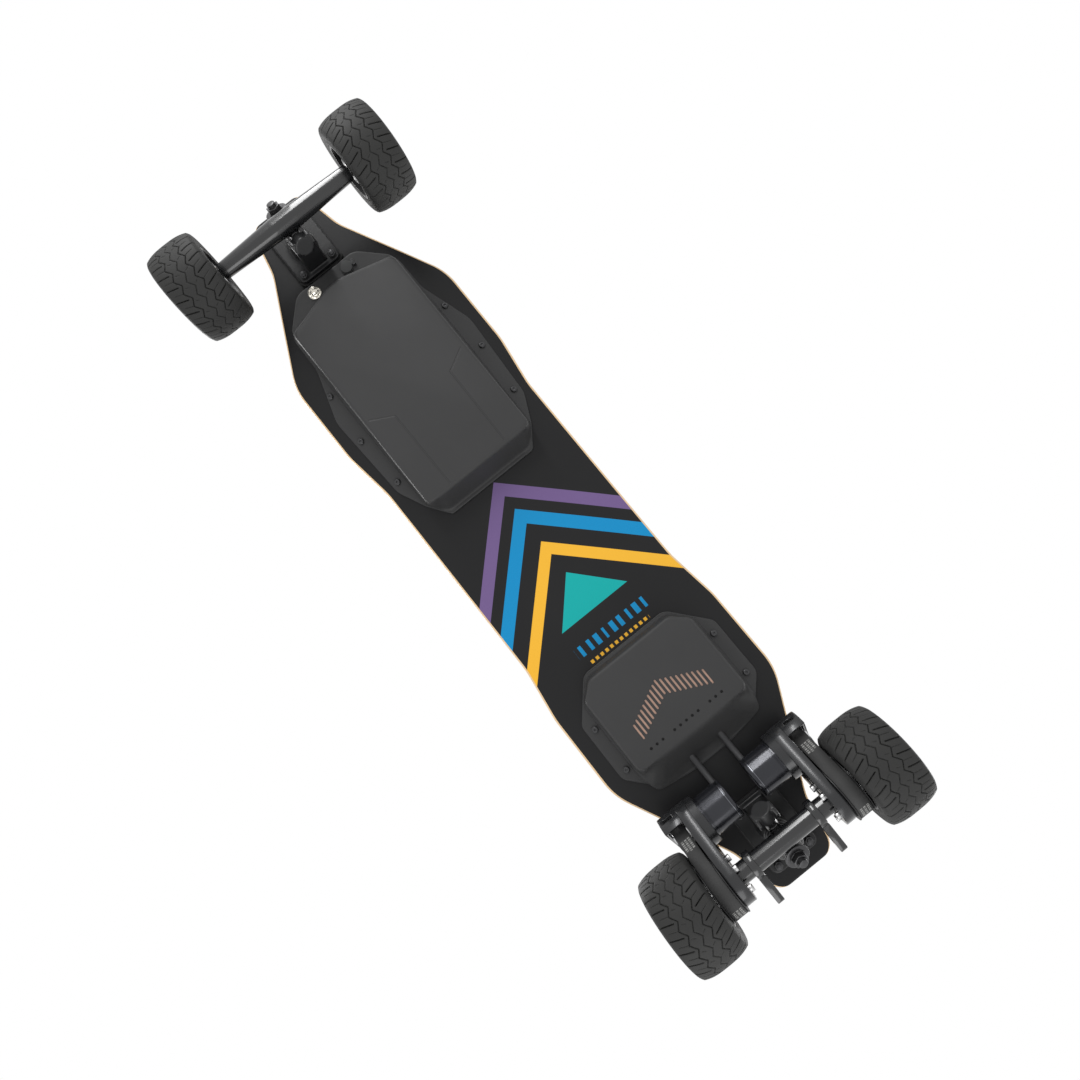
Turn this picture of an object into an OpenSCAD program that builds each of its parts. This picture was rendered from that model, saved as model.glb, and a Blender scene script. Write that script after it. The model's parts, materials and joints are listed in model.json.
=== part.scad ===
// Electric longboard with a belt-driven rear truck. The laminated deck is arched along its length
// and dished across it. A battery cover and a controller cover hang under it, and reverse-kingpin
// trucks steer as the deck leans.
// +X is forward, +Y is left, +Z is up. The origin is on the ground under the middle of the deck.

/* [Deck] */
// Length over the tips
deck_len = 965; // [800:5:1160]
// Greatest width, at the shoulders
deck_w = 232; // [194:2:280]
// Width between the shoulders
waist_w = 214; // [180:2:226]
// Width at the tips
tip_w = 76; // [64:2:92]
// Thickness of the laminated wood
deck_t = 12; // [10:0.5:15]
// Radius of the arch along the deck
camber_r = 4700; // [3900:50:5700]
// Rise of the rails above the middle
concave = 6; // [4:0.5:8]
// Width of the flat middle
flat_w = 80; // [66:2:96]
// Thickness of the grip tape
grip_t = 1.2; // [1:0.1:1.5]

/* [Wheels] */
// Tyre diameter
wheel_d = 110; // [92:1:132]
// Tyre width
wheel_w = 58; // [54:1:70]
// Diameter of the plastic core inside the tyre
core_d = 66; // [60:1:74]
// Distance between the inner faces of a pair of wheels
track_in = 176; // [172:1:212]

/* [Trucks] */
// Distance from the deck tip to the middle of the truck bolts
bolt_inset = 57.5; // [52:0.5:69]
// Height from the axle to the underside of the deck
truck_drop = 74; // [70:1:88]
// Angle of the steering axis above the deck's plane
steer_angle = 36; // [33:1:40]
// Thickness of the riser pad
riser_t = 6; // [5:0.5:7]
// Diameter of the front hanger in the middle
front_hanger_d = 25; // [21:0.5:26]
// Diameter of the rear hanger
rear_hanger_d = 21; // [18:0.5:25]
// Axle diameter
axle_d = 8; // [7:0.5:9.6]

/* [Drive] */
// Teeth on the wheel pulley
wheel_teeth = 36; // [32:1:40]
// Teeth on the motor pulley
motor_teeth = 15; // [13:1:17]
// Teeth on the belt
belt_teeth = 52; // [50:1:60]
// Belt width
belt_w = 15; // [12.5:0.5:16]
// Motor diameter
motor_d = 44; // [38:1:48]
// Angle of the motor above the axle, seen from the truck
motor_angle = 28; // [24:1:32]

/* [Covers] */
// Length of the battery cover
battery_len = 320; // [300:0.5:345]
// Depth of the battery cover under the deck
battery_depth = 43.5; // [43.5:0.5:50]
// Half width of the raised battery box
box_half = 73; // [72:1:78]
// Length of the controller cover
controller_len = 156; // [140:1:187]
// Depth of the controller cover under the deck
controller_depth = 32; // [27:1:38]
// Thickness of the cover walls
cover_t = 3; // [2.5:0.1:3.6]
// Thickness of the sealing gaskets
gasket_t = 1; // [0.8:0.1:1.2]

/* [Controls] */
// Diameter of the power button's cap
button_d = 10.4; // [9:0.1:11]
// Travel of the power button
button_travel = 1.5; // [1:0.1:2]
// Diameter of the bore in the charge socket
charge_bore_d = 10; // [9:0.1:11]

/* [Hidden] */
$fn = 64;
revolve_fn = 720;

// Clearances shared by every fit
eps = 0.01;
run_fit = 0.05;
slide_gap = 0.3;
seat_gap = 0.3;
glue_gap = 0.1;
screw_fit = 0.1;

// Truck bolt pattern, the common long pattern
bolt_dx = 63.5 / 2;
bolt_dy = 41.3 / 2;
bolt_d = 5;
bolt_head_d = 9.2;
bolt_head_h = 2.3;
bolt_socket_d = 3.4;
nut_af_d = 9.2;
nut_h = 4.5;
bolt_tail = 2;

// Where the trucks sit on the arch
bolt_x = deck_len / 2 - bolt_inset;
truck_slope = asin(bolt_x / camber_r);
axle_z = wheel_d / 2;
camber_z = axle_z + (truck_drop + seat_gap) * cos(truck_slope) - sqrt(pow(camber_r, 2) - pow(bolt_x, 2));

// Truck details, in the truck's own frame: X outboard, Z up, Z = 0 at the underside of the deck
plate_len = 78;
plate_w = 58;
plate_t = 7;
plate_corner = 8;
plate_bottom = -riser_t - plate_t;
ring_x = 14;
ring_rise = 34;
ring_z = ring_rise - truck_drop;
ring_r = 17;
ring_t = 8;
ring_bore_r = 7.5;
pivot_t = 49.4;
pivot_x = ring_x - pivot_t * cos(steer_angle);
pivot_z = ring_z - pivot_t * sin(steer_angle);
kingpin_r = 5;
kingpin_head_r = 8;
kingpin_head_h = 6;
kingpin_end = 31;
bushing_r = 12.5;
board_bushing_h = 13;
road_bushing_h = 14;
washer_r = 13.5;
washer_h = 2.5;
seat_r = 15;
seat_q = ring_t / 2 + board_bushing_h + washer_h;
kingpin_nut_h = 7;
kingpin_nut_r = 8.5;
nose_r = 7;
cup_fit = 0.08;
cup_t = 2;
cup_depth = 6.3;
cup_floor = 2;
housing_wall = 1.2;
housing_mouth = 3;
rib_t = 4;
rib_gap = nose_r + 1.5;

yoke_half = 16;
yoke_inset = 1;
ring_block = [3, 20, ring_t - 1.2];
arm_half = 7;
arm_inset = 2.5;
arm_start = 14;
arm_len = 16;
nose_len = cup_depth + 32;
hanger_mid = 14;
hanger_taper = 3;
spindle_r = 6.5;
plate_margin = 3;
bolt_clearance = 0.5;
socket_depth_left = 0.4;
seat_h = 26;
head_seat = 10;
housing_base = 4;
bushing_bevel = 2;
bushing_clearance = 0.4;
pin_washer_thin = 0.5;
reach = 60;

// Wheels and axles
wheel_in = track_in / 2;
core_wall = 4;
bearing_r = 11;
bearing_w = 7;
inner_bearing_v = 3;
outer_bearing_v = wheel_w - 23;
hub_boss_r = 15;
hub_web_v = 12;
hub_web_t = 12;
axle_nut_r = 7.4;
axle_nut_h = 6.5;
axle_washer_r = 7.8;
axle_washer_h = 1.4;
axle_tail = 2.6;
nut_y = wheel_in + outer_bearing_v + bearing_w + slide_gap;
axle_end = nut_y + axle_washer_h + axle_nut_h + axle_tail;

// Belt drive: 5 mm pitch round-tooth belt
belt_pitch = 5;
tooth_tip_drop = 0.57;
belt_inner = -0.27;
belt_outer = 1.43;
wheel_pitch_r = wheel_teeth * belt_pitch / PI / 2;
motor_pitch_r = motor_teeth * belt_pitch / PI / 2;
belt_slack = belt_teeth * belt_pitch - PI * (wheel_pitch_r + motor_pitch_r);
pitch_gap = 2 * (wheel_pitch_r - motor_pitch_r);
centre_distance = (belt_slack + sqrt(pow(belt_slack, 2) - 2 * pow(pitch_gap, 2))) / 4;
motor_x = -centre_distance * cos(motor_angle);
motor_rise = centre_distance * sin(motor_angle);
flange_t = 1;
flange_r = 2.4;
belt_side = 0.5;
pulley_end = wheel_in - 0.4;
pulley_start = pulley_end - belt_w - 2 * belt_side - 2 * flange_t;
belt_start = pulley_start + flange_t + belt_side;
tooth_r = 1.5;
mount_out = pulley_start - 0.6;
hub_side = pulley_start + flange_t - slide_gap;
hanger_end = pulley_start - slide_gap;
bearing_step = 0.7;
mount_plate_t = 12;
mount_in = mount_out - mount_plate_t;
mount_skirt = 9;
mount_axle_r = 26;
mount_wall = 5.5;
mount_motor_r = motor_d / 2 + mount_wall;
motor_boss_r = 9;
motor_in = 14.5;
shaft_r = 4;
shaft_seat = 17;
clamp_screws = 5;
clamp_screw_r = 18.5;
clamp_screw_d = 4;
clamp_screw_len = 9;
clamp_turn = 54;
skirt_thin = 0.7;
motor_boss_h = 4;
clamp_head_r = 3.6;
clamp_head_h = 4;
guard_wall = 3;
guard_r = mount_motor_r;
guard_end = wheel_in + 3;
guard_cut = 2;
guard_slot = [60, 11, 6];
prong_y = 40;
prong_len = 44;
prong_t = 8;
prong_h = 11;
prong_collar = 4;
prong_tip = 6;

// Deck outline: corners of one quarter as [x, y, corner radius]
neck_from_tip = 58.5;
neck_w = tip_w + 25;
shoulder_from_tip = 182;
hip_from_tip = 287;
waist_from_tip = 351;

// Covers, in plan
battery_front = bolt_x - plate_len / 2 - 2.5;
battery_rear = battery_front - battery_len;
battery_x = (battery_front + battery_rear) / 2;
rim_half = deck_w / 2 - 15;
controller_rear = -(bolt_x - 94);
controller_front = controller_rear + controller_len;
controller_x = (controller_front + controller_rear) / 2;
controller_half = rim_half - 5;
flange_drop = gasket_t + cover_t;
shelf_drop = 17;
body_top = -2;
well_top = 8;
face_h = 0.5;
boss_drop = 40;
cover_screw_d = 4;
cover_screw_depth = 8;
cover_head_d = 7.6;
cover_head_h = 2.4;
head_bevel = 0.9;
cover_socket_d = 2.6;
battery_screw_y = rim_half - 11;
controller_screw_y = controller_half - 11;
battery_screws = [
    [battery_front - 118.5, battery_screw_y - 3.5],
    [battery_front - 183.5, battery_screw_y + 1],
    [battery_front - 249, battery_screw_y - 3]
];
controller_screws = [
    [controller_rear + 46, controller_screw_y],
    [controller_rear + 101, controller_screw_y]
];

// Controls on the front shelf of the battery cover, in the cover's frame
control_x = battery_len / 2 - 15;
control_y = 24;
bezel_r = 8;
bezel_t = 1.5;
barrel_r = 6.5;
barrel_h = 9;
button_proud = 0.8;
socket_depth = 8;
cap_r = 7.6;
cap_t = 2.2;
cap_gap = 0.3;
cap_pin_x = 10.5;
cap_pin_r = 0.6;
cap_eye_w = 4.4;
cap_eye_r = cap_t / 2;
cap_lug_w = 1.1;
cap_pin_z = -shelf_drop - bezel_t - cap_gap - cap_t / 2;

// Cells of the battery pack
cell_d = 18.4;
cell_len = 65;
cell_pitch = 18.8;
cell_columns = 12;
cell_gap = 1;
pack_floor = 0.3;

// Vents in the controller cover
fin_side = 8;
fin_t = 1.2;
sink_t = 3.8;
vent_side = 9;
vent_pitch = 5.3;
vent_step = 2.55;
vent_len = 19;
vent_w = 2.2;
vent_apex = controller_len / 2 - 52;
dot_x = -controller_len / 2 + 50;
dot_side = 6;
dot_skip = 3;
dot_pitch = 8.1;
dot_d = 3.3;

// Leads
lead_r = 3.4;
lead_y = 20;
strip_w = 14;
strip_t = 2.6;
strip_fit = 0.2;
strip_front = battery_rear + 34;
strip_rear = controller_front - 30;
drop_len = 8;
drop_w = strip_w - 2;

// ---- helpers ----

function unit(v) = v / norm(v);

// Points of one rounded corner between the sides a-b and b-c
function corner(a, b, c, r) =
    let (
        u = unit(a - b),
        v = unit(c - b),
        half = acos(u * v) / 2,
        p = b + u * r / tan(half),
        q = b + v * r / tan(half),
        m = b + unit(u + v) * r / sin(half),
        start = atan2(p.y - m.y, p.x - m.x),
        sweep = (atan2(q.y - m.y, q.x - m.x) - start + 540) % 360 - 180,
        steps = max(1, ceil(abs(sweep) / 8))
    )
    [for (i = [0:steps]) m + r * [cos(start + sweep * i / steps), sin(start + sweep * i / steps)]];

function flat(p) = [p.x, p.y];

// Closed outline through corners given as [x, y, radius]
function rounded(pts) =
    let (n = len(pts))
    [for (i = [0:n - 1])
        each corner(flat(pts[(i + n - 1) % n]), flat(pts[i]), flat(pts[(i + 1) % n]), pts[i][2])];

// Adds the mirror image of a row of corners across the X axis
function both_sides(pts) =
    let (n = len(pts))
    concat(pts, [for (i = [n - 1:-1:0]) [pts[i].x, -pts[i].y, pts[i][2]]]);

// Adds the mirror image of a row of corners across the Y axis
function both_ends(pts) =
    let (n = len(pts))
    concat(pts, [for (i = [n - 1:-1:0]) [-pts[i].x, pts[i].y, pts[i][2]]]);

// Outline of a belt or link around a circle at [0, 0] and one at the point c
function loop_points(r0, c, r1) =
    let (
        along = atan2(c.y, c.x),
        side = acos((r0 - r1) / norm(c)),
        turn = 360 - 2 * side,
        steps0 = 28,
        steps1 = 16
    )
    concat(
        [for (i = [0:steps0])
            let (a = along + side + turn * i / steps0)
            r0 * [cos(a), sin(a)]],
        [for (i = [0:steps1])
            let (a = along - side + 2 * side * i / steps1)
            flat(c) + r1 * [cos(a), sin(a)]]
    );

function rail_rise(y) =
    concave * pow(max(0, abs(y) - flat_w / 2) / (deck_w / 2 - flat_w / 2), 2);

function under_z(x) = camber_z + sqrt(pow(camber_r, 2) - pow(x, 2));

rail_steps = 6;
edge_half = deck_w / 2 + 3;
tip_spare = 8;
layer_drop = 90;
layer_h = 150;
rail_y = [for (i = [0:rail_steps]) flat_w / 2 + (edge_half - flat_w / 2) * i / rail_steps];
across = concat([for (i = [rail_steps:-1:0]) -rail_y[i]], rail_y);

// Layer that follows the arch and the dish, from low to high above the underside of the deck
module band(low, high) {
    sweep = 2 * asin((deck_len / 2 + tip_spare) / camber_r);
    outline = concat(
        [for (y = across) [camber_r + rail_rise(y) + low, y]],
        [for (i = [len(across) - 1:-1:0]) [camber_r + rail_rise(across[i]) + high, across[i]]]
    );
    translate([0, 0, camber_z])
        rotate([90, 0, 0])
            rotate([0, 0, 90 - sweep / 2])
                rotate_extrude(angle = sweep, $fn = revolve_fn)
                    polygon(outline);
}

// Part of a band inside a plan outline
module layer(low, high, outline) {
    intersection() {
        band(low, high);
        translate([0, 0, under_z(0) - layer_drop])
            linear_extrude(layer_h)
                polygon(outline);
    }
}

// Frame on the underside of the deck at x, level with the arch
module at_deck(x) {
    translate([x, 0, under_z(x)])
        rotate([0, asin(x / camber_r), 0])
            children();
}

module front_truck() {
    at_deck(bolt_x)
        translate([0, 0, -seat_gap])
            children();
}

module rear_truck() {
    rotate([0, 0, 180])
        front_truck()
            children();
}

module both_trucks() {
    front_truck() children();
    rear_truck() children();
}

module at_axle() {
    translate([0, 0, -truck_drop])
        children();
}

// Steering axis: +Z runs from the pivot to the ring
module at_pivot() {
    translate([pivot_x, 0, pivot_z])
        rotate([0, 90 - steer_angle, 0])
            children();
}

// Kingpin axis: Z = 0 in the middle of the ring, +Z towards the nut, +X inboard along the axis
module at_ring() {
    translate([ring_x, 0, ring_z])
        rotate([0, 180 - steer_angle, 0])
            children();
}

module at_motor() {
    translate([motor_x, 0, motor_rise - truck_drop])
        children();
}

// Cylinder along Y from y0 to y1
module along_y(r, y0, y1, end_r = undef) {
    translate([0, y0, 0])
        rotate([-90, 0, 0])
            cylinder(r1 = r, r2 = is_undef(end_r) ? r : end_r, h = y1 - y0);
}

module truck_bolt_places() {
    for (x = [-bolt_dx, bolt_dx], y = [-bolt_dy, bolt_dy])
        translate([x, y, 0])
            children();
}

module rounded_plate(length, width, corner_r, thickness) {
    quarter = [[length / 2, width / 2, corner_r]];
    linear_extrude(thickness)
        polygon(rounded(both_sides(both_ends(quarter))));
}

// Frame on the underside of the deck at a screw, square to the dished surface
module on_surface(p) {
    slope = 2 * rail_rise(p.y) / max(1, abs(p.y) - flat_w / 2);
    at_deck(p.x)
        translate([0, p.y, rail_rise(p.y)])
            rotate([atan(slope) * sign(p.y), 0, 0])
                children();
}

module cover_screw_places() {
    for (p = concat(battery_screws, controller_screws), side = [-1, 1])
        on_surface([p.x, side * p.y])
            children();
}

// ---- deck ----

function deck_corners(inset) = [
    [deck_len / 2 - inset, tip_w / 2 - inset, 19],
    [deck_len / 2 - neck_from_tip, neck_w / 2 - inset, 60],
    [deck_len / 2 - shoulder_from_tip, deck_w / 2 - inset, 70],
    [deck_len / 2 - hip_from_tip, deck_w / 2 - inset, 110],
    [deck_len / 2 - waist_from_tip, waist_w / 2 - inset, 110]
];

function deck_outline(inset) = rounded(both_sides(both_ends(deck_corners(inset))));

function strip_outline(grow) = [
    [strip_rear - grow, -strip_w / 2 - grow],
    [strip_front + grow, -strip_w / 2 - grow],
    [strip_front + grow, strip_w / 2 + grow],
    [strip_rear - grow, strip_w / 2 + grow]
];

// One end of the flat lead, where it goes down through the deck
module lead_drop(x, grow, bottom) {
    at_deck(x)
        translate([-drop_len / 2 - grow, -drop_w / 2 - grow, bottom])
            cube([drop_len + 2 * grow, drop_w + 2 * grow, deck_t - bottom - strip_t / 2]);
}

// Through hole with a countersink, cut as one revolved shape
module countersunk_hole() {
    hole_r = (bolt_d + bolt_clearance) / 2;
    head_r = (bolt_head_d + bolt_clearance) / 2;
    top = deck_t + grip_t;
    rotate_extrude()
        polygon([
            [0, -deck_t], [hole_r, -deck_t], [hole_r, top - bolt_head_h - seat_gap],
            [head_r, top], [head_r, top + deck_t], [0, top + deck_t]
        ]);
}

module deck() {
    color("burlywood")
    difference() {
        layer(0, deck_t, deck_outline(0));
        both_trucks()
            truck_bolt_places()
                countersunk_hole();
        cover_screw_places()
            translate([0, 0, -5])
                cylinder(d = cover_screw_d + 2 * screw_fit, h = cover_screw_depth + 5.3);
        layer(deck_t - strip_t - strip_fit, deck_t + 5, strip_outline(strip_fit));
        lead_drop(strip_front - drop_len, strip_fit, -5);
        lead_drop(strip_rear + drop_len, strip_fit, -5);
    }
}

module grip_tape() {
    color("dimgray")
    difference() {
        layer(deck_t + glue_gap, deck_t + grip_t, deck_outline(1));
        both_trucks()
            truck_bolt_places()
                cylinder(d = bolt_head_d + bolt_clearance, h = deck_t + 10);
    }
}

module deck_bolts() {
    tail = plate_bottom - nut_h - bolt_tail;
    head_top = deck_t + grip_t - seat_gap;
    color("silver")
    both_trucks()
        truck_bolt_places()
            difference() {
                union() {
                    translate([0, 0, tail])
                        cylinder(d = bolt_d, h = head_top - bolt_head_h - tail);
                    translate([0, 0, head_top - bolt_head_h])
                        cylinder(d1 = bolt_d, d2 = bolt_head_d, h = bolt_head_h);
                }
                translate([0, 0, head_top - bolt_head_h + socket_depth_left])
                    cylinder(d = bolt_socket_d, h = bolt_head_h, $fn = 6);
            }
}

module deck_nuts() {
    color("silver")
    both_trucks()
        truck_bolt_places()
            translate([0, 0, plate_bottom - nut_h])
                difference() {
                    cylinder(d = nut_af_d, h = nut_h, $fn = 6);
                    translate([0, 0, -1])
                        cylinder(d = bolt_d + run_fit, h = nut_h + 2);
                }
}

// ---- trucks ----

module riser_pads() {
    color("black")
    both_trucks()
        difference() {
            translate([0, 0, -riser_t])
                rounded_plate(plate_len + plate_margin, plate_w + plate_margin, plate_corner, riser_t);
            truck_bolt_places()
                translate([0, 0, -riser_t - 1])
                    cylinder(d = bolt_d + bolt_clearance, h = riser_t + 2);
        }
}

// Side rib that carries the pivot housing under the plate
module rib(side) {
    outline = [
        [pivot_x - 7, plate_bottom + 1],
        [pivot_x + 16, plate_bottom + 1],
        [pivot_x + 9.5, pivot_z + 19],
        [pivot_x + 9, pivot_z - 1],
        [pivot_x + 4, pivot_z - 11],
        [pivot_x - 4, pivot_z - 13],
        [pivot_x - 11, pivot_z - 5],
        [pivot_x - 7, pivot_z + 11]
    ];
    near = side > 0 ? rib_gap : -rib_gap - rib_t;
    translate([0, near + rib_t, 0])
        rotate([90, 0, 0])
            linear_extrude(rib_t)
                polygon(outline);
}

module baseplate() {
    housing_r = nose_r + cup_fit + cup_t + housing_wall;
    housing_back = cup_depth + cup_floor + housing_base;
    difference() {
        union() {
            translate([0, 0, plate_bottom])
                rounded_plate(plate_len, plate_w, plate_corner, plate_t);
            at_ring()
                translate([0, 0, -seat_q - seat_h])
                    cylinder(r = seat_r, h = seat_h);
            at_pivot()
                translate([0, 0, -housing_back])
                    cylinder(r = housing_r, h = housing_back + housing_mouth);
            rib(1);
            rib(-1);
            translate([pivot_x - 7, -rib_gap - 1, pivot_z + 5])
                cube([4, 2 * rib_gap + 2, plate_bottom - pivot_z - 4]);
        }
        translate([-plate_len, -plate_w, -riser_t])
            cube([2 * plate_len, 2 * plate_w, reach]);
        at_ring() {
            translate([0, 0, -reach])
                cylinder(r = kingpin_r + screw_fit, h = reach);
            translate([0, 0, -seat_q - head_seat - reach])
                cylinder(r = kingpin_head_r + seat_gap, h = reach);
        }
        at_pivot()
            translate([0, 0, -cup_depth - cup_floor])
                cylinder(r = housing_r - housing_wall + run_fit, h = 40);
        truck_bolt_places()
            translate([0, 0, -reach])
                cylinder(d = bolt_d + bolt_clearance, h = reach);
    }
}

module front_baseplate() {
    color("#1b1c1f")
    front_truck() baseplate();
}

module rear_baseplate() {
    color("#1b1c1f")
    rear_truck() baseplate();
}

module kingpins() {
    color("silver")
    both_trucks()
        at_ring()
            difference() {
                union() {
                    translate([0, 0, -seat_q - head_seat])
                        cylinder(r = kingpin_r, h = seat_q + head_seat + kingpin_end);
                    translate([0, 0, -seat_q - head_seat - kingpin_head_h])
                        cylinder(r = kingpin_head_r, h = kingpin_head_h);
                }
                translate([0, 0, -seat_q - head_seat - kingpin_head_h - 1])
                    cylinder(d = kingpin_r, h = 4, $fn = 6);
            }
}

module kingpin_nuts() {
    start = ring_t / 2 + road_bushing_h + washer_h - pin_washer_thin;
    color("silver")
    both_trucks()
        at_ring()
            translate([0, 0, start])
                difference() {
                    union() {
                        cylinder(r = kingpin_nut_r, h = kingpin_nut_h, $fn = 6);
                        cylinder(r = kingpin_nut_r, h = 1.2);
                    }
                    translate([0, 0, -1])
                        cylinder(r = kingpin_r + run_fit, h = kingpin_nut_h + 2);
                }
}

module bushing(height, taper) {
    difference() {
        union() {
            cylinder(r1 = bushing_r - 1, r2 = bushing_r, h = bushing_bevel);
            translate([0, 0, bushing_bevel])
                cylinder(r = bushing_r, h = height - 2 * bushing_bevel);
            translate([0, 0, height - bushing_bevel])
                cylinder(r1 = bushing_r, r2 = bushing_r - taper, h = bushing_bevel);
        }
        translate([0, 0, -1])
            cylinder(r = kingpin_r + bushing_clearance, h = height + 2);
    }
}

module bushing_pair() {
    at_ring() {
        translate([0, 0, -ring_t / 2 - board_bushing_h])
            bushing(board_bushing_h - seat_gap, 1);
        translate([0, 0, ring_t / 2 + seat_gap])
            bushing(road_bushing_h - seat_gap, 3);
    }
}

module front_bushings() {
    color("dimgray")
    front_truck() bushing_pair();
}

module rear_bushings() {
    color("dimgray")
    rear_truck() bushing_pair();
}

module cup_washer(height) {
    difference() {
        cylinder(r = washer_r, h = height);
        translate([0, 0, -1])
            cylinder(r = kingpin_r + screw_fit, h = height + 2);
    }
}

module bushing_washers() {
    color("silver")
    both_trucks()
        at_ring() {
            translate([0, 0, -seat_q])
                cup_washer(washer_h);
            translate([0, 0, ring_t / 2 + road_bushing_h])
                cup_washer(washer_h - pin_washer_thin);
        }
}

module pivot_cups() {
    color("dimgray")
    both_trucks()
        at_pivot()
            translate([0, 0, -cup_depth - cup_floor])
                difference() {
                    cylinder(r = nose_r + cup_fit + cup_t, h = cup_depth + cup_floor + housing_mouth);
                    translate([0, 0, cup_floor])
                        cylinder(r = nose_r + cup_fit, h = cup_depth + 20);
                }
}

// Cast body shared by both hangers: ring, arm and pivot nose
module hanger_body(tube_r) {
    hull() {
        at_axle()
            along_y(tube_r - yoke_inset, -yoke_half, yoke_half);
        at_ring()
            translate([ring_r - ring_block.x, -ring_block.y / 2, -ring_block.z / 2])
                cube(ring_block);
    }
    hull() {
        at_axle()
            along_y(tube_r - arm_inset, -arm_half, arm_half);
        at_pivot()
            translate([0, 0, arm_start])
                cylinder(r = nose_r - yoke_inset, h = arm_len, $fn = 32);
    }
    at_ring()
        translate([0, 0, -ring_t / 2])
            cylinder(r = ring_r, h = ring_t);
    at_pivot()
        translate([0, 0, -cup_depth + slide_gap])
            cylinder(r = nose_r, h = nose_len);
}

module hanger_bores() {
    at_ring()
        translate([0, 0, -ring_t])
            cylinder(r = ring_bore_r, h = 2 * ring_t);
    at_axle()
        along_y(axle_d / 2 + run_fit, -track_in, track_in);
}

module front_hanger() {
    mid = hanger_mid;
    end = wheel_in + inner_bearing_v - 1;
    mid_r = front_hanger_d / 2;
    color("#1d1e21")
    front_truck()
        difference() {
            union() {
                hanger_body(mid_r);
                at_axle() {
                    along_y(mid_r, -mid, mid);
                    for (side = [0, 180])
                        rotate([0, 0, side]) {
                            along_y(mid_r, mid, end, mid_r - hanger_taper);
                            along_y(spindle_r, end, wheel_in + inner_bearing_v - slide_gap);
                        }
                }
            }
            hanger_bores();
        }
}

module rear_hanger() {
    color("#1d1e21")
    rear_truck()
        difference() {
            union() {
                hanger_body(rear_hanger_d / 2);
                at_axle() {
                    along_y(rear_hanger_d / 2, -hanger_end, hanger_end);
                    along_y(bearing_r - bearing_step, -hub_side, hub_side);
                }
            }
            hanger_bores();
        }
}

module axle_rod() {
    at_axle()
        along_y(axle_d / 2, -axle_end, axle_end);
}

module front_axle() {
    color("silver")
    front_truck() axle_rod();
}

module rear_axle() {
    color("silver")
    rear_truck() axle_rod();
}

module axle_nut_pair() {
    for (side = [0, 180])
        rotate([0, 0, side])
            at_axle()
                difference() {
                    union() {
                        along_y(axle_washer_r, nut_y, nut_y + axle_washer_h);
                        translate([0, nut_y + axle_washer_h, 0])
                            rotate([-90, 0, 0])
                                cylinder(r = axle_nut_r, h = axle_nut_h, $fn = 6);
                    }
                    along_y(axle_d / 2 + run_fit, 0, 2 * axle_end);
                }
}

module front_axle_nuts() {
    color("silver")
    front_truck() axle_nut_pair();
}

module rear_axle_nuts() {
    color("silver")
    rear_truck() axle_nut_pair();
}

// ---- wheels ----

// Frame of one wheel: Z = 0 on its inner face, +Z outboard along the axle
module wheel_place(side) {
    at_axle()
        rotate([0, 0, side > 0 ? 0 : 180])
            translate([0, wheel_in, 0])
                rotate([-90, 0, 0])
                    children();
}

module tyre() {
    r = wheel_d / 2;
    crown = 4.5;
    steps = 10;
    tread = [for (i = [0:steps])
        let (u = 2 * i / steps - 1)
        [r - crown * pow(abs(u), 3), wheel_w / 2 + u * (wheel_w / 2 - 2.5)]];
    rotate_extrude($fn = 96)
        polygon(concat([[core_d / 2, 1], [r - crown - 3, 0]], tread,
            [[r - crown - 3, wheel_w], [core_d / 2, wheel_w - 1]]));
}

module hub() {
    core_r = core_d / 2;
    boss_end = outer_bearing_v + bearing_w;
    difference() {
        rotate_extrude($fn = 96)
            polygon([
                [bearing_r - 2, inner_bearing_v], [hub_boss_r, inner_bearing_v],
                [hub_boss_r, hub_web_v], [core_r - core_wall, hub_web_v],
                [core_r - core_wall, 1], [core_r, 1],
                [core_r, wheel_w - 1], [core_r - core_wall, wheel_w - 1],
                [core_r - core_wall - 2, hub_web_v + hub_web_t],
                [hub_boss_r + 1, hub_web_v + hub_web_t],
                [hub_boss_r, boss_end], [bearing_r - 2, boss_end]
            ]);
        translate([0, 0, inner_bearing_v - 1])
            cylinder(r = bearing_r, h = bearing_w + 1);
        translate([0, 0, outer_bearing_v])
            cylinder(r = bearing_r, h = bearing_w + 1);
    }
}

module bearing() {
    inner_r = axle_d / 2 + run_fit;
    rotate_extrude()
        polygon([
            [inner_r, 0], [inner_r + 2, 0], [inner_r + 2.3, 0.5], [bearing_r - 2.3, 0.5],
            [bearing_r - 2, 0], [bearing_r, 0], [bearing_r, bearing_w], [bearing_r - 2, bearing_w],
            [bearing_r - 2.3, bearing_w - 0.5], [inner_r + 2.3, bearing_w - 0.5],
            [inner_r + 2, bearing_w], [inner_r, bearing_w]
        ]);
}

module bearing_set(with_pulley) {
    translate([0, 0, inner_bearing_v])
        bearing();
    translate([0, 0, outer_bearing_v])
        bearing();
    if (with_pulley)
        translate([0, 0, pulley_start - wheel_in + flange_t])
            bearing();
}

// The rear truck is turned round, so its left wheel is on its own -Y side
module front_wheel(side) {
    front_truck() wheel_place(side) children();
}

module rear_wheel(side) {
    rear_truck() wheel_place(-side) children();
}

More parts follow.
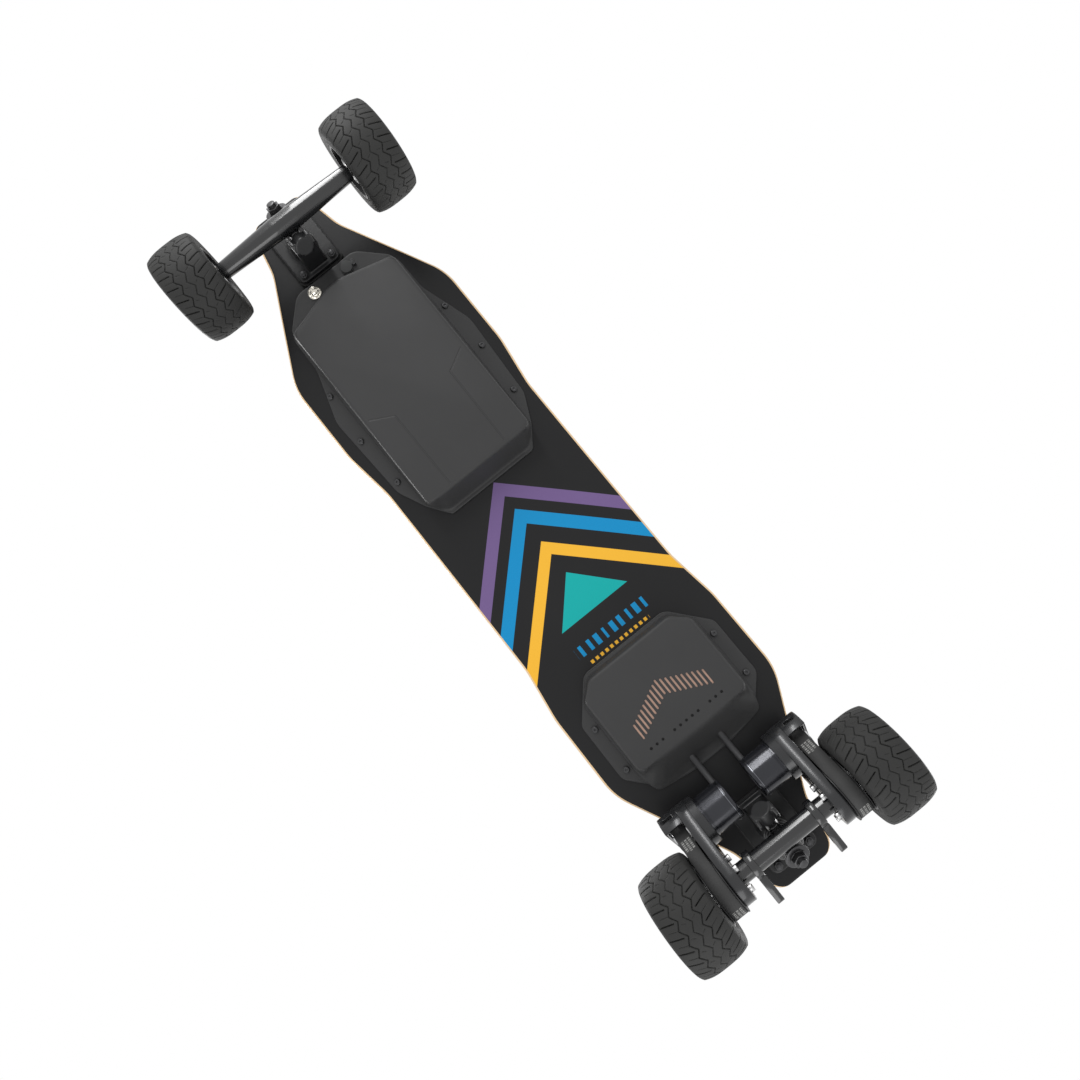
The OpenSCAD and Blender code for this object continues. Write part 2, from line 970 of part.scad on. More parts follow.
module tyre_front_left() { color("#26272a") front_wheel(1) tyre(); }
module tyre_front_right() { color("#26272a") front_wheel(-1) tyre(); }
module tyre_rear_left() { color("#26272a") rear_wheel(1) tyre(); }
module tyre_rear_right() { color("#26272a") rear_wheel(-1) tyre(); }
module hub_front_left() { color("#17181a") front_wheel(1) hub(); }
module hub_front_right() { color("#17181a") front_wheel(-1) hub(); }
module hub_rear_left() { color("#17181a") rear_wheel(1) hub(); }
module hub_rear_right() { color("#17181a") rear_wheel(-1) hub(); }
module bearings_front_left() { color("silver") front_wheel(1) bearing_set(false); }
module bearings_front_right() { color("silver") front_wheel(-1) bearing_set(false); }
module bearings_rear_left() { color("silver") rear_wheel(1) bearing_set(true); }
module bearings_rear_right() { color("silver") rear_wheel(-1) bearing_set(true); }

// ---- belt drive ----

// Toothed ring of a pulley, Z = 0 at its inner flange
module pulley_teeth(teeth, pitch_r) {
    rim_r = pitch_r - tooth_tip_drop;
    face = belt_w + 2 * belt_side;
    for (z = [0, flange_t + face])
        translate([0, 0, z])
            cylinder(r = rim_r + flange_r, h = flange_t);
    translate([0, 0, flange_t])
        difference() {
            cylinder(r = rim_r, h = face);
            for (i = [0:teeth - 1])
                rotate([0, 0, 360 * i / teeth])
                    translate([rim_r + 0.2, 0, 0])
                        cylinder(r = tooth_r, h = face, $fn = 24);
        }
}

module wheel_pulley() {
    length = pulley_end - pulley_start;
    translate([0, 0, pulley_start - wheel_in])
        difference() {
            union() {
                pulley_teeth(wheel_teeth, wheel_pitch_r);
                cylinder(r = hub_boss_r, h = length + 0.4);
            }
            translate([0, 0, -1])
                cylinder(r = bearing_r, h = flange_t + bearing_w + 1);
            cylinder(r = bearing_r - 2.5, h = length + 2);
        }
}

module wheel_pulley_left() { color("#2b2c30") rear_wheel(1) wheel_pulley(); }
module wheel_pulley_right() { color("#2b2c30") rear_wheel(-1) wheel_pulley(); }

// Frame of one side of the drive: +Z outboard from the middle of the truck, on the motor's axis
module drive_side(side) {
    rear_truck()
        mirror([0, side > 0 ? 1 : 0, 0])
            children();
}

module at_motor_shaft(y) {
    at_motor()
        translate([0, y, 0])
            rotate([-90, 0, 0])
                children();
}

module motor() {
    r = motor_d / 2;
    length = mount_in - motor_in;
    bevel = 2;
    at_motor_shaft(motor_in)
        difference() {
            union() {
                cylinder(r1 = r - bevel, r2 = r, h = bevel);
                translate([0, 0, bevel])
                    cylinder(r = r, h = length - bevel);
                translate([0, 0, length])
                    cylinder(r = motor_boss_r, h = motor_boss_h);
            }
            translate([0, 0, length - shaft_seat])
                cylinder(r = shaft_r + run_fit, h = shaft_seat + 10);
        }
}

module motor_left() { color("#2a2c33") drive_side(1) motor(); }
module motor_right() { color("#2a2c33") drive_side(-1) motor(); }

module motor_shaft() {
    at_motor_shaft(mount_in - shaft_seat + slide_gap)
        cylinder(r = shaft_r, h = pulley_end - mount_in + shaft_seat - slide_gap);
}

module motor_shaft_left() { color("silver") drive_side(1) motor_shaft(); }
module motor_shaft_right() { color("silver") drive_side(-1) motor_shaft(); }

module motor_pulley() {
    at_motor_shaft(pulley_start)
        difference() {
            pulley_teeth(motor_teeth, motor_pitch_r);
            translate([0, 0, -1])
                cylinder(r = shaft_r, h = belt_w + 10);
        }
}

module motor_pulley_left() { color("#b9bcc2") drive_side(1) motor_pulley(); }
module motor_pulley_right() { color("#b9bcc2") drive_side(-1) motor_pulley(); }

// Outline around the axle and the motor, seen along Y: X stays, Z becomes the outline's Y
module drive_outline(axle_r, motor_r, y0, y1) {
    at_axle()
        translate([0, y1, 0])
            rotate([90, 0, 0])
                linear_extrude(y1 - y0)
                    polygon(loop_points(axle_r, [motor_x, motor_rise], motor_r));
}

module belt() {
    difference() {
        drive_outline(wheel_pitch_r + belt_outer, motor_pitch_r + belt_outer, belt_start, belt_start + belt_w);
        drive_outline(wheel_pitch_r + belt_inner, motor_pitch_r + belt_inner,
            belt_start - 1, belt_start + belt_w + 1);
    }
}

module belt_left() { color("#151515") drive_side(1) belt(); }
module belt_right() { color("#151515") drive_side(-1) belt(); }

module clamp_screw_places() {
    for (i = [0:clamp_screws - 1])
        at_axle()
            rotate([0, 360 * i / clamp_screws + clamp_turn, 0])
                translate([clamp_screw_r, 0, 0])
                    children();
}

module motor_mount() {
    difference() {
        union() {
            drive_outline(mount_axle_r, mount_motor_r, mount_in, mount_out);
            at_motor()
                along_y(mount_motor_r - skirt_thin, mount_in - mount_skirt, mount_in + 1);
        }
        at_axle()
            along_y(rear_hanger_d / 2 + run_fit, 0, 2 * mount_out);
        at_motor() {
            along_y(motor_d / 2 + run_fit, 0, mount_in);
            along_y(motor_boss_r + run_fit, 0, 2 * mount_out);
        }
        clamp_screw_places()
            along_y(clamp_screw_d / 2 + run_fit, mount_in - 1, mount_in + clamp_screw_len + 0.2);
    }
}

module motor_mount_left() { color("#2a2b2f") drive_side(1) motor_mount(); }
module motor_mount_right() { color("#2a2b2f") drive_side(-1) motor_mount(); }

module mount_screws() {
    color("silver")
    for (side = [-1, 1])
        drive_side(side)
            clamp_screw_places() {
                along_y(clamp_screw_d / 2, mount_in - 0.5, mount_in + clamp_screw_len);
                difference() {
                    along_y(clamp_head_r, mount_in - clamp_head_h, mount_in);
                    translate([0, mount_in - clamp_head_h - 1, 0])
                        rotate([-90, 0, 0])
                            cylinder(r = 1.7, h = 3, $fn = 6);
                }
            }
}

// Half cup over the motor pulley, open towards the axle and trimmed clear of the tyre
module belt_cover() {
    toward_axle = motor_angle;
    difference() {
        at_motor()
            along_y(guard_r, mount_out, guard_end);
        at_motor()
            along_y(guard_r - guard_wall, mount_out - 1, guard_end - guard_wall + 0.4);
        at_motor()
            rotate([0, toward_axle, 0])
                translate([-guard_cut, 0, -60])
                    cube([120, 2 * guard_end, 120]);
        at_axle()
            along_y(wheel_d / 2 + 3, wheel_in - 2, guard_end + 5);
        at_motor()
            rotate([0, 180 - motor_angle, 0])
                translate([0, mount_out + guard_slot.y / 2, -guard_slot.z / 2])
                    cube(guard_slot);
    }
}

module belt_cover_left() { color("#2a2b2f") drive_side(1) belt_cover(); }
module belt_cover_right() { color("#2a2b2f") drive_side(-1) belt_cover(); }

// Two rounded prongs that stand out behind the rear hanger and rise a little to their tips
module rear_prongs() {
    blade = rounded([
        [0, -prong_h / 2, 0.5],
        [prong_len / 2, -prong_h / 2, 60],
        [prong_len, prong_tip - prong_h / 2, prong_h / 2 - 1],
        [prong_len, prong_tip + prong_h / 2, prong_h / 2 - 1],
        [prong_len / 2, prong_h / 2, 60],
        [0, prong_h / 2, 0.5]
    ]);
    color("#1b1c1f")
    rear_truck()
        at_axle()
            for (side = [-1, 1])
                translate([0, side * prong_y, 0])
                    difference() {
                        union() {
                            along_y(rear_hanger_d / 2 + prong_collar, -prong_t / 2, prong_t / 2);
                            translate([0, prong_t / 2, 0])
                                rotate([90, 0, 0])
                                    linear_extrude(prong_t)
                                        polygon(blade);
                        }
                        along_y(rear_hanger_d / 2 + run_fit, -prong_y / 2, prong_y / 2);
                    }
}

// ---- covers ----

function battery_flange(inset) = rounded(both_sides([
    [battery_rear + inset, box_half - 13, 6],
    [battery_rear + 27, box_half + 6 - inset, 12],
    [battery_rear + 61, rim_half - 6 - inset, 30],
    [battery_front - 148, rim_half - inset, 45],
    [battery_front - 84, box_half + 7 - inset, 30],
    [battery_front - 36, box_half + 6 - inset, 24],
    [battery_front - inset, 45 - inset / 2, 22]
]));

function controller_flange(inset) = rounded(both_sides([
    [controller_rear + inset, 24, 90],
    [controller_rear + 7, 72, 10],
    [controller_rear + 19, controller_half - 20 - inset, 8],
    [controller_rear + 40, controller_half - inset, 14],
    [controller_front - 44, controller_half - inset, 14],
    [controller_front - inset, 58 - inset / 2, 16]
]));

// Plan of the raised battery box at its foot (0) and at its flat face (1), shrunk by a wall
function battery_box(face, wall) = rounded(both_sides([
    [-battery_len / 2 + 4 + 15 * face + wall, box_half - 14 + 8 * face - wall, 8],
    [-battery_len / 2 + 24 - face * 2 + wall, box_half + 4 - 4 * face - wall, 6],
    [battery_len / 2 - 40 - 9 * face - wall, box_half + 4 - 4 * face - wall, 8],
    [battery_len / 2 - 24 - 7 * face - wall, 10, 60]
]));

function controller_box(face, wall) = rounded(both_sides([
    [-controller_len / 2 + 5 + 31 * face + wall, 68 - wall, 8],
    [-controller_len / 2 + 12 + 29 * face + wall, 77 - 3 * face - wall, 8],
    [controller_len / 2 - 25 - wall, 78 - 4 * face - wall, 8],
    [controller_len / 2 - 4 - 4 * face - wall, 56 - wall / 2, 12]
]));

shelf_outline = rounded(both_sides([
    [battery_len / 2 - 76, box_half + 3, 4],
    [battery_len / 2 - 36, box_half + 3, 22],
    [battery_len / 2 - 2.5, 43, 20]
]));

module screw_clearance() {
    cover_screw_places()
        translate([0, 0, -boss_drop])
            cylinder(d = cover_screw_d + 2 * screw_fit, h = reach);
}

module battery_cover() {
    color("#55565c")
    difference() {
        union() {
            layer(-flange_drop, -gasket_t, battery_flange(0));
            at_deck(battery_x) {
                hull() {
                    translate([0, 0, body_top])
                        linear_extrude(face_h)
                            polygon(battery_box(0, 0));
                    translate([0, 0, -battery_depth])
                        linear_extrude(face_h)
                            polygon(battery_box(1, 0));
                }
                translate([0, 0, -shelf_drop])
                    linear_extrude(shelf_drop)
                        polygon(shelf_outline);
            }
        }
        band(-gasket_t, 60);
        at_deck(battery_x) {
            hull() {
                translate([0, 0, body_top + well_top])
                    linear_extrude(face_h)
                        polygon(battery_box(0, cover_t));
                translate([0, 0, -battery_depth + cover_t])
                    linear_extrude(face_h)
                        polygon(battery_box(1, cover_t));
            }
            translate([0, 0, -shelf_drop + cover_t])
                linear_extrude(shelf_drop)
                    offset(delta = -cover_t)
                        polygon(shelf_outline);
            for (side = [-1, 1])
                translate([control_x, side * control_y, -shelf_drop - 5])
                    cylinder(r = barrel_r + screw_fit, h = 20);
        }
        screw_clearance();
    }
}

module vent_holes() {
    for (i = [-vent_side:vent_side])
        translate([vent_apex - abs(i) * vent_step - vent_len, i * vent_pitch - vent_w / 2, -controller_depth - 5])
            cube([vent_len, vent_w, cover_t + 6]);
    for (k = [-dot_side:dot_side])
        if (abs(k) != dot_skip)
            translate([dot_x, k * dot_pitch, -controller_depth - 5])
                cylinder(d = dot_d, h = cover_t + 6, $fn = 24);
}

board_post_r = 3;
board_x = 6;
board_len = 96;
board_w = 112;
board_z = -14;
board_t = 1.6;
post_inset = 5;
post_hole_d = 3.2;
capacitor_pitch = 18;
capacitor_d = 10;
capacitor_h = 8;

module board_post_places() {
    for (x = [-1, 1], y = [-1, 1])
        translate([x * (board_len / 2 - post_inset), y * (board_w / 2 - post_inset), 0])
            children();
}

module controller_cover() {
    color("#55565c")
    difference() {
        union() {
            difference() {
                union() {
                    layer(-flange_drop, -gasket_t, controller_flange(0));
                    at_deck(controller_x)
                        hull() {
                            translate([0, 0, body_top])
                                linear_extrude(face_h)
                                    polygon(controller_box(0, 0));
                            translate([0, 0, -controller_depth])
                                linear_extrude(face_h)
                                    polygon(controller_box(1, 0));
                        }
                }
                band(-gasket_t, 60);
                at_deck(controller_x)
                    hull() {
                        translate([0, 0, body_top + well_top])
                            linear_extrude(face_h)
                                polygon(controller_box(0, cover_t));
                        translate([0, 0, -controller_depth + cover_t])
                            linear_extrude(face_h)
                                polygon(controller_box(1, cover_t));
                    }
            }
            at_deck(controller_x)
                translate([board_x, 0, 1 - controller_depth])
                    board_post_places()
                        cylinder(r = board_post_r, h = controller_depth - 1 + board_z);
        }
        at_deck(controller_x)
            vent_holes();
        lead_holes();
        screw_clearance();
    }
}

module cover_gaskets() {
    color("black")
    difference() {
        union() {
            difference() {
                layer(glue_gap - gasket_t, -glue_gap, battery_flange(1));
                at_deck(battery_x)
                    translate([0, 0, -20])
                        linear_extrude(40)
                            polygon(battery_box(0, cover_t + 1));
                at_deck(battery_x)
                    translate([0, 0, -20])
                        linear_extrude(40)
                            offset(delta = -cover_t - 1)
                                polygon(shelf_outline);
            }
            difference() {
                layer(glue_gap - gasket_t, -glue_gap, controller_flange(1));
                at_deck(controller_x)
                    translate([0, 0, -20])
                        linear_extrude(40)
                            polygon(controller_box(0, cover_t + 1));
            }
        }
        screw_clearance();
    }
}

module cover_screws() {
    color("#17181a")
    cover_screw_places()
        translate([0, 0, -flange_drop - glue_gap]) {
            cylinder(d = cover_screw_d, h = flange_drop + cover_screw_depth);
            translate([0, 0, -cover_head_h])
                difference() {
                    union() {
                        cylinder(d1 = cover_head_d - 2 * head_bevel, d2 = cover_head_d, h = head_bevel);
                        translate([0, 0, head_bevel])
                            cylinder(d = cover_head_d, h = cover_head_h - head_bevel);
                    }
                    translate([0, 0, -1])
                        cylinder(d = cover_socket_d, h = cover_head_h, $fn = 6);
                }
        }
}

// ---- electrical parts ----

module battery_pack() {
    floor_z = -battery_depth + cover_t + pack_floor + cell_d / 2;
    start = -battery_len / 2 + 37;
    color("royalblue")
    at_deck(battery_x) {
        for (i = [0:cell_columns - 1], level = [0, 1], side = [0, 1])
            translate([start + i * cell_pitch, 0, floor_z + level * cell_pitch])
                rotate([0, 0, side * 180])
                    along_y(cell_d / 2, cell_gap / 4, cell_gap / 4 + cell_len);
    }
}

module controller_board() {
    color("darkgreen")
    at_deck(controller_x)
        translate([board_x, 0, board_z + glue_gap]) {
            difference() {
                translate([-board_len / 2, -board_w / 2, 0])
                    cube([board_len, board_w, board_t]);
                translate([0, 0, -1])
                    board_post_places()
                        cylinder(d = post_hole_d, h = board_t + 2);
            }
            for (k = [-2:2])
                translate([-board_len / 2 + 14, k * capacitor_pitch, board_t])
                    cylinder(d = capacitor_d, h = capacitor_h);
        }
}

module heat_sink() {
    plate_z = board_z - sink_t - glue_gap;
    fin_h = controller_depth + plate_z - cover_t - 1;
    sink_len = board_len - 16;
    sink_w = board_w - 20;
    color("#c98f6a")
    at_deck(controller_x)
        translate([board_x, 0, 0]) {
            translate([-sink_len / 2, -sink_w / 2, plate_z])
                cube([sink_len, sink_w, sink_t]);
            for (i = [-fin_side:fin_side])
                translate([-sink_len / 2, i * vent_pitch - fin_t / 2, plate_z - fin_h])
                    cube([sink_len, fin_t, fin_h + 0.5]);
        }
}

module power_lead() {
    color("crimson")
    union() {
        layer(deck_t - strip_t, deck_t - 0.2, strip_outline(0));
        lead_drop(strip_front - drop_len, 0, -4);
        lead_drop(strip_rear + drop_len, 0, -4);
    }
}

// Route of one motor lead in the rear truck's frame, from the cover to the motor
lead_route = [
    [-126, 0, -10], [-116, 0, -10], [-106, 0, -10], [-97, 0, -10], [-89, 0, -11],
    [-82, 0, -13], [-76, 0, -16], [-71.5, 0, -19.5], [-67.9, 0, -24.3]
];

module lead_holes() {
    for (side = [-1, 1])
        rear_truck()
            translate([lead_route[0].x - 10, side * lead_y, lead_route[0].z])
                rotate([0, 90, 0])
                    cylinder(r = lead_r + 0.2, h = 50);
}

function lead_dir(i) =
    unit(lead_route[min(i + 1, len(lead_route) - 1)] - lead_route[max(i - 1, 0)]);

// Round tube along the route: one ring of points at each place, joined by side faces and two ends
module lead_tube() {
    sides = 10;
    rings = len(lead_route);
    points = [for (i = [0:rings - 1], k = [0:sides - 1])
        let (d = lead_dir(i), up = [-d.z, 0, d.x])
        lead_route[i] + lead_r * (cos(360 * k / sides) * [0, 1, 0] + sin(360 * k / sides) * up)];
    walls = [for (i = [0:rings - 2], k = [0:sides - 1])
        [i * sides + k, i * sides + (k + 1) % sides, (i + 1) * sides + (k + 1) % sides, (i + 1) * sides + k]];
    caps = [
        [for (k = [sides - 1:-1:0]) k],
        [for (k = [0:sides - 1]) (rings - 1) * sides + k]
    ];
    polyhedron(points = points, faces = concat(walls, caps), convexity = 4);
}

module motor_leads() {
    color("#202124")
    rear_truck()
        for (side = [-1, 1])
            translate([0, side * lead_y, 0])
                lead_tube();
}

// Frame of a control on the shelf: side 1 is the charge socket, side -1 the power button
module at_control(side) {
    at_deck(battery_x)
        translate([control_x, side * control_y, 0])
            children();
}

// The cap's hinge lies on the outer side of the socket
module at_socket() {
    at_control(1)
        rotate([0, 0, 90])
            children();
}

module charge_socket() {
    lug_y = cap_eye_w / 2 + 0.3;
    lug_x = cap_r + 0.5;
    lug_end = cap_pin_x + cap_eye_r;
    color("#2a2b2f")
    at_socket()
        difference() {
            union() {
                translate([0, 0, -shelf_drop - bezel_t])
                    cylinder(r = bezel_r, h = bezel_t);
                translate([0, 0, -shelf_drop - eps])
                    cylinder(r = barrel_r, h = barrel_h);
                translate([bezel_r - 3, -lug_y - cap_lug_w, -shelf_drop - bezel_t])
                    cube([lug_end - bezel_r + 3, 2 * (lug_y + cap_lug_w), bezel_t]);
                for (side = [-1, 1])
                    translate([lug_x, side > 0 ? lug_y : -lug_y - cap_lug_w, cap_pin_z - cap_eye_r])
                        cube([lug_end - lug_x, cap_lug_w, -shelf_drop - cap_pin_z + cap_eye_r - eps]);
                translate([cap_pin_x, 0, cap_pin_z])
                    along_y(cap_pin_r, -lug_y - 0.5, lug_y + 0.5);
            }
            translate([0, 0, -shelf_drop - bezel_t - 1])
                cylinder(d = charge_bore_d, h = socket_depth + 1);
        }
}

module charge_cap() {
    color("#1b1c1e")
    at_socket()
        difference() {
            union() {
                translate([0, 0, cap_pin_z - cap_t / 2])
                    cylinder(r1 = cap_r - 0.7, r2 = cap_r, h = 0.7);
                translate([0, 0, cap_pin_z - cap_t / 2 + 0.7])
                    cylinder(r = cap_r, h = cap_t - 0.7);
                translate([cap_r - 2, -cap_eye_w / 2, cap_pin_z - cap_t / 2])
                    cube([cap_pin_x - cap_r + 2, cap_eye_w, cap_t - 0.6]);
                translate([cap_pin_x, 0, cap_pin_z])
                    along_y(cap_eye_r, -cap_eye_w / 2, cap_eye_w / 2);
            }
            translate([cap_pin_x, 0, cap_pin_z])
                along_y(cap_pin_r + run_fit, -cap_eye_w, cap_eye_w);
        }
}

module power_button() {
    color("silver")
    at_control(-1)
        translate([0, 0, -shelf_drop - bezel_t - button_proud])
            difference() {
                cylinder(d = button_d, h = button_proud + bezel_t + 4);
                translate([0, 0, -1])
                    cylinder(d = button_d - 3, h = 1.3);
            }
}

module button_bezel() {
    bore = button_d / 2 + slide_gap;
    color("silver")
    at_control(-1)
        difference() {
            union() {
                translate([0, 0, -shelf_drop - bezel_t])
                    cylinder(r = bezel_r, h = bezel_t);
                translate([0, 0, -shelf_drop - eps])
                    cylinder(r = barrel_r, h = barrel_h);
            }
            translate([0, 0, -shelf_drop - bezel_t - 1])
                cylinder(r = bore, h = 1 + bezel_t + 4 + button_travel + slide_gap);
        }
}

deck();
grip_tape();
deck_bolts();
deck_nuts();
riser_pads();
front_baseplate();
rear_baseplate();
kingpins();
kingpin_nuts();
front_bushings();
rear_bushings();
bushing_washers();
pivot_cups();
front_hanger();
rear_hanger();
front_axle();
rear_axle();
front_axle_nuts();
rear_axle_nuts();
tyre_front_left();
tyre_front_right();
tyre_rear_left();
tyre_rear_right();
hub_front_left();
hub_front_right();
hub_rear_left();
hub_rear_right();
bearings_front_left();
bearings_front_right();
bearings_rear_left();
bearings_rear_right();
wheel_pulley_left();
wheel_pulley_right();
motor_left();
motor_right();
motor_shaft_left();
motor_shaft_right();
motor_pulley_left();
motor_pulley_right();
belt_left();
belt_right();
motor_mount_left();
motor_mount_right();
belt_cover_left();
belt_cover_right();
mount_screws();
rear_prongs();
battery_cover();
controller_cover();
cover_gaskets();
cover_screws();
battery_pack();
controller_board();
heat_sink();
power_lead();
motor_leads();
charge_socket();
charge_cap();
power_button();
button_bezel();
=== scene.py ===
import json
import math
import bmesh
import bpy
import numpy as np
from mathutils import Matrix, Vector

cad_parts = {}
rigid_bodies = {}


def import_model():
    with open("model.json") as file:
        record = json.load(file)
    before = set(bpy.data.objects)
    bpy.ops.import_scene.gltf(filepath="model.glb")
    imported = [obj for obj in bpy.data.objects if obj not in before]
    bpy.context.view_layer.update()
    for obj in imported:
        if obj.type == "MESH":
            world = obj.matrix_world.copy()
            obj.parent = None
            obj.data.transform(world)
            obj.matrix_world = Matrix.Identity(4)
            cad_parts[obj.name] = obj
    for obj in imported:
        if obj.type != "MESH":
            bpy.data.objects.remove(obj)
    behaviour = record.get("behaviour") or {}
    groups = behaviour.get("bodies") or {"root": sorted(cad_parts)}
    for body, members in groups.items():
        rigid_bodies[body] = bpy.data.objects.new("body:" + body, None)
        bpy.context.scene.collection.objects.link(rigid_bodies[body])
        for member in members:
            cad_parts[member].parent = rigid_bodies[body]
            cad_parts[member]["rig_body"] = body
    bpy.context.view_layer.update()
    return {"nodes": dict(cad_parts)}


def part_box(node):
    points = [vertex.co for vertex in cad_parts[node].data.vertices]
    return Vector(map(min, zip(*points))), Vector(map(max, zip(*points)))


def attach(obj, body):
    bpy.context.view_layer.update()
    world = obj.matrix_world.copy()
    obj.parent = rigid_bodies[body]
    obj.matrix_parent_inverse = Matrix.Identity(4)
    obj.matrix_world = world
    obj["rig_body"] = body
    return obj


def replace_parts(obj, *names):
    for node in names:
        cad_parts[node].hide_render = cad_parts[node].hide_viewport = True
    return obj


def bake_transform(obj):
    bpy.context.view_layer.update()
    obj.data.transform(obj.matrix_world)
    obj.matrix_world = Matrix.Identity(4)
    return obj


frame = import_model()
NODES = frame["nodes"]
MM = 0.001

# ---------------------------------------------------------------- sizes of the part, in millimetres
DECK_LEN, DECK_W, WAIST_W, TIP_W, DECK_T = 965.0, 232.0, 214.0, 76.0, 12.0
CAMBER_R, CONCAVE, FLAT_W, GRIP_T = 4700.0, 6.0, 80.0, 1.2
DROP, SEAT, BOLT_X = 74.0, 0.3, 425.0
SLOPE = math.asin(BOLT_X / CAMBER_R)
CAMBER_Z = 55.0 + (DROP + SEAT) * math.cos(SLOPE) - math.sqrt(CAMBER_R ** 2 - BOLT_X ** 2)
STEER = math.radians(36.0)
RING = (14.0, -40.0)
MOTOR_ANGLE = math.radians(28.0)
WHEEL_TEETH, MOTOR_TEETH, BELT_TEETH, PITCH = 36, 15, 52, 5.0
R_WHEEL, R_MOTOR = WHEEL_TEETH * PITCH / math.tau, MOTOR_TEETH * PITCH / math.tau
SLACK = BELT_TEETH * PITCH - math.pi * (R_WHEEL + R_MOTOR)
CENTRES = (SLACK + math.sqrt(SLACK ** 2 - 8 * (R_WHEEL - R_MOTOR) ** 2)) / 4
MOTOR = (-CENTRES * math.cos(MOTOR_ANGLE), CENTRES * math.sin(MOTOR_ANGLE) - DROP)
BELT_Y, BELT_W = 71.1, 15.0
BATTERY_FRONT, BATTERY_LEN, BATTERY_DEPTH, BOX_HALF = 383.5, 320.0, 43.5, 73.0
BATTERY_REAR = BATTERY_FRONT - BATTERY_LEN
BATTERY_X = (BATTERY_FRONT + BATTERY_REAR) / 2
CTRL_REAR, CTRL_LEN, CTRL_DEPTH = -331.0, 156.0, 32.0
CTRL_FRONT = CTRL_REAR + CTRL_LEN
CTRL_X = (CTRL_FRONT + CTRL_REAR) / 2
RIM_HALF = DECK_W / 2 - 15
CTRL_HALF = RIM_HALF - 5


def rise(y):
    out = np.maximum(0, np.abs(y) - FLAT_W / 2)
    return CONCAVE * (out / (DECK_W / 2 - FLAT_W / 2)) ** 2


def surface_z(x, y, h):
    """Height of the point h above the underside of the arched, dished deck."""
    return CAMBER_Z + np.sqrt((CAMBER_R + rise(y) + h) ** 2 - np.asarray(x) ** 2)


def deck_matrix(x0):
    """Frame on the underside of the deck at x0, level with the arch, in millimetres."""
    a = math.asin(x0 / CAMBER_R)
    z = CAMBER_Z + math.sqrt(CAMBER_R ** 2 - x0 ** 2)
    return Matrix.Translation((x0, 0, z)) @ Matrix.Rotation(a, 4, "Y")


def truck_matrix(rear):
    m = deck_matrix(BOLT_X) @ Matrix.Translation((0, 0, -SEAT))
    return Matrix.Rotation(math.pi, 4, "Z") @ m if rear else m


# ---------------------------------------------------------------- outlines
def rounded(corners, step=5.0):
    """Outline through [x, y, radius] corners, each turned into an arc."""
    n, out = len(corners), []
    for i in range(n):
        a, b, c = (np.array(corners[(i + k) % n][:2], float) for k in (-1, 0, 1))
        r = corners[i][2]
        u, v = (a - b) / np.linalg.norm(a - b), (c - b) / np.linalg.norm(c - b)
        half = math.acos(np.clip(u @ v, -1, 1)) / 2
        p, q = b + u * r / math.tan(half), b + v * r / math.tan(half)
        m = b + (u + v) / np.linalg.norm(u + v) * r / math.sin(half)
        start = math.atan2(*(p - m)[::-1])
        sweep = (math.atan2(*(q - m)[::-1]) - start + 3 * math.pi) % math.tau - math.pi
        steps = max(2, math.ceil(abs(math.degrees(sweep)) / step))
        for k in range(steps + 1):
            t = start + sweep * k / steps
            out.append(m + r * np.array([math.cos(t), math.sin(t)]))
    return np.array(out)


def both_sides(rows):
    return rows + [[x, -y, r] for x, y, r in reversed(rows)]


def both_ends(rows):
    return rows + [[-x, y, r] for x, y, r in reversed(rows)]


def deck_outline(inset):
    h = DECK_LEN / 2
    return rounded(both_sides(both_ends([
        [h - inset, TIP_W / 2 - inset, 19],
        [h - 58.5, (TIP_W + 25) / 2 - inset, 60],
        [h - 182, DECK_W / 2 - inset, 70],
        [h - 287, DECK_W / 2 - inset, 110],
        [h - 351, WAIST_W / 2 - inset, 110]])), 1.5)


def battery_flange():
    return rounded(both_sides([
        [BATTERY_REAR, BOX_HALF - 13, 6],
        [BATTERY_REAR + 27, BOX_HALF + 6, 12],
        [BATTERY_REAR + 61, RIM_HALF - 6, 30],
        [BATTERY_FRONT - 148, RIM_HALF, 45],
        [BATTERY_FRONT - 84, BOX_HALF + 7, 30],
        [BATTERY_FRONT - 36, BOX_HALF + 6, 24],
        [BATTERY_FRONT, 45, 22]]))


def controller_flange():
    return rounded(both_sides([
        [CTRL_REAR, 24, 90],
        [CTRL_REAR + 7, 72, 10],
        [CTRL_REAR + 19, CTRL_HALF - 20, 8],
        [CTRL_REAR + 40, CTRL_HALF, 14],
        [CTRL_FRONT - 44, CTRL_HALF, 14],
        [CTRL_FRONT, 58, 16]]))


def battery_box(face):
    h = BATTERY_LEN / 2
    return rounded(both_sides([
        [-h + 4 + 15 * face, BOX_HALF - 14 + 8 * face, 8],
        [-h + 24 - face * 2, BOX_HALF + 4 - 4 * face, 6],
        [h - 40 - 9 * face, BOX_HALF + 4 - 4 * face, 8],
        [h - 24 - 7 * face, 10, 60]]))


def controller_box(face):
    h = CTRL_LEN / 2
    return rounded(both_sides([
        [-h + 5 + 31 * face, 68, 8],
        [-h + 12 + 29 * face, 77 - 3 * face, 8],
        [h - 25, 78 - 4 * face, 8],
        [h - 4 - 4 * face, 56, 12]]))


def shelf_outline():
    h = BATTERY_LEN / 2
    return rounded(both_sides([
        [h - 76, BOX_HALF + 3, 4],
        [h - 36, BOX_HALF + 3, 22],
        [h - 2.5, 43, 20]]))


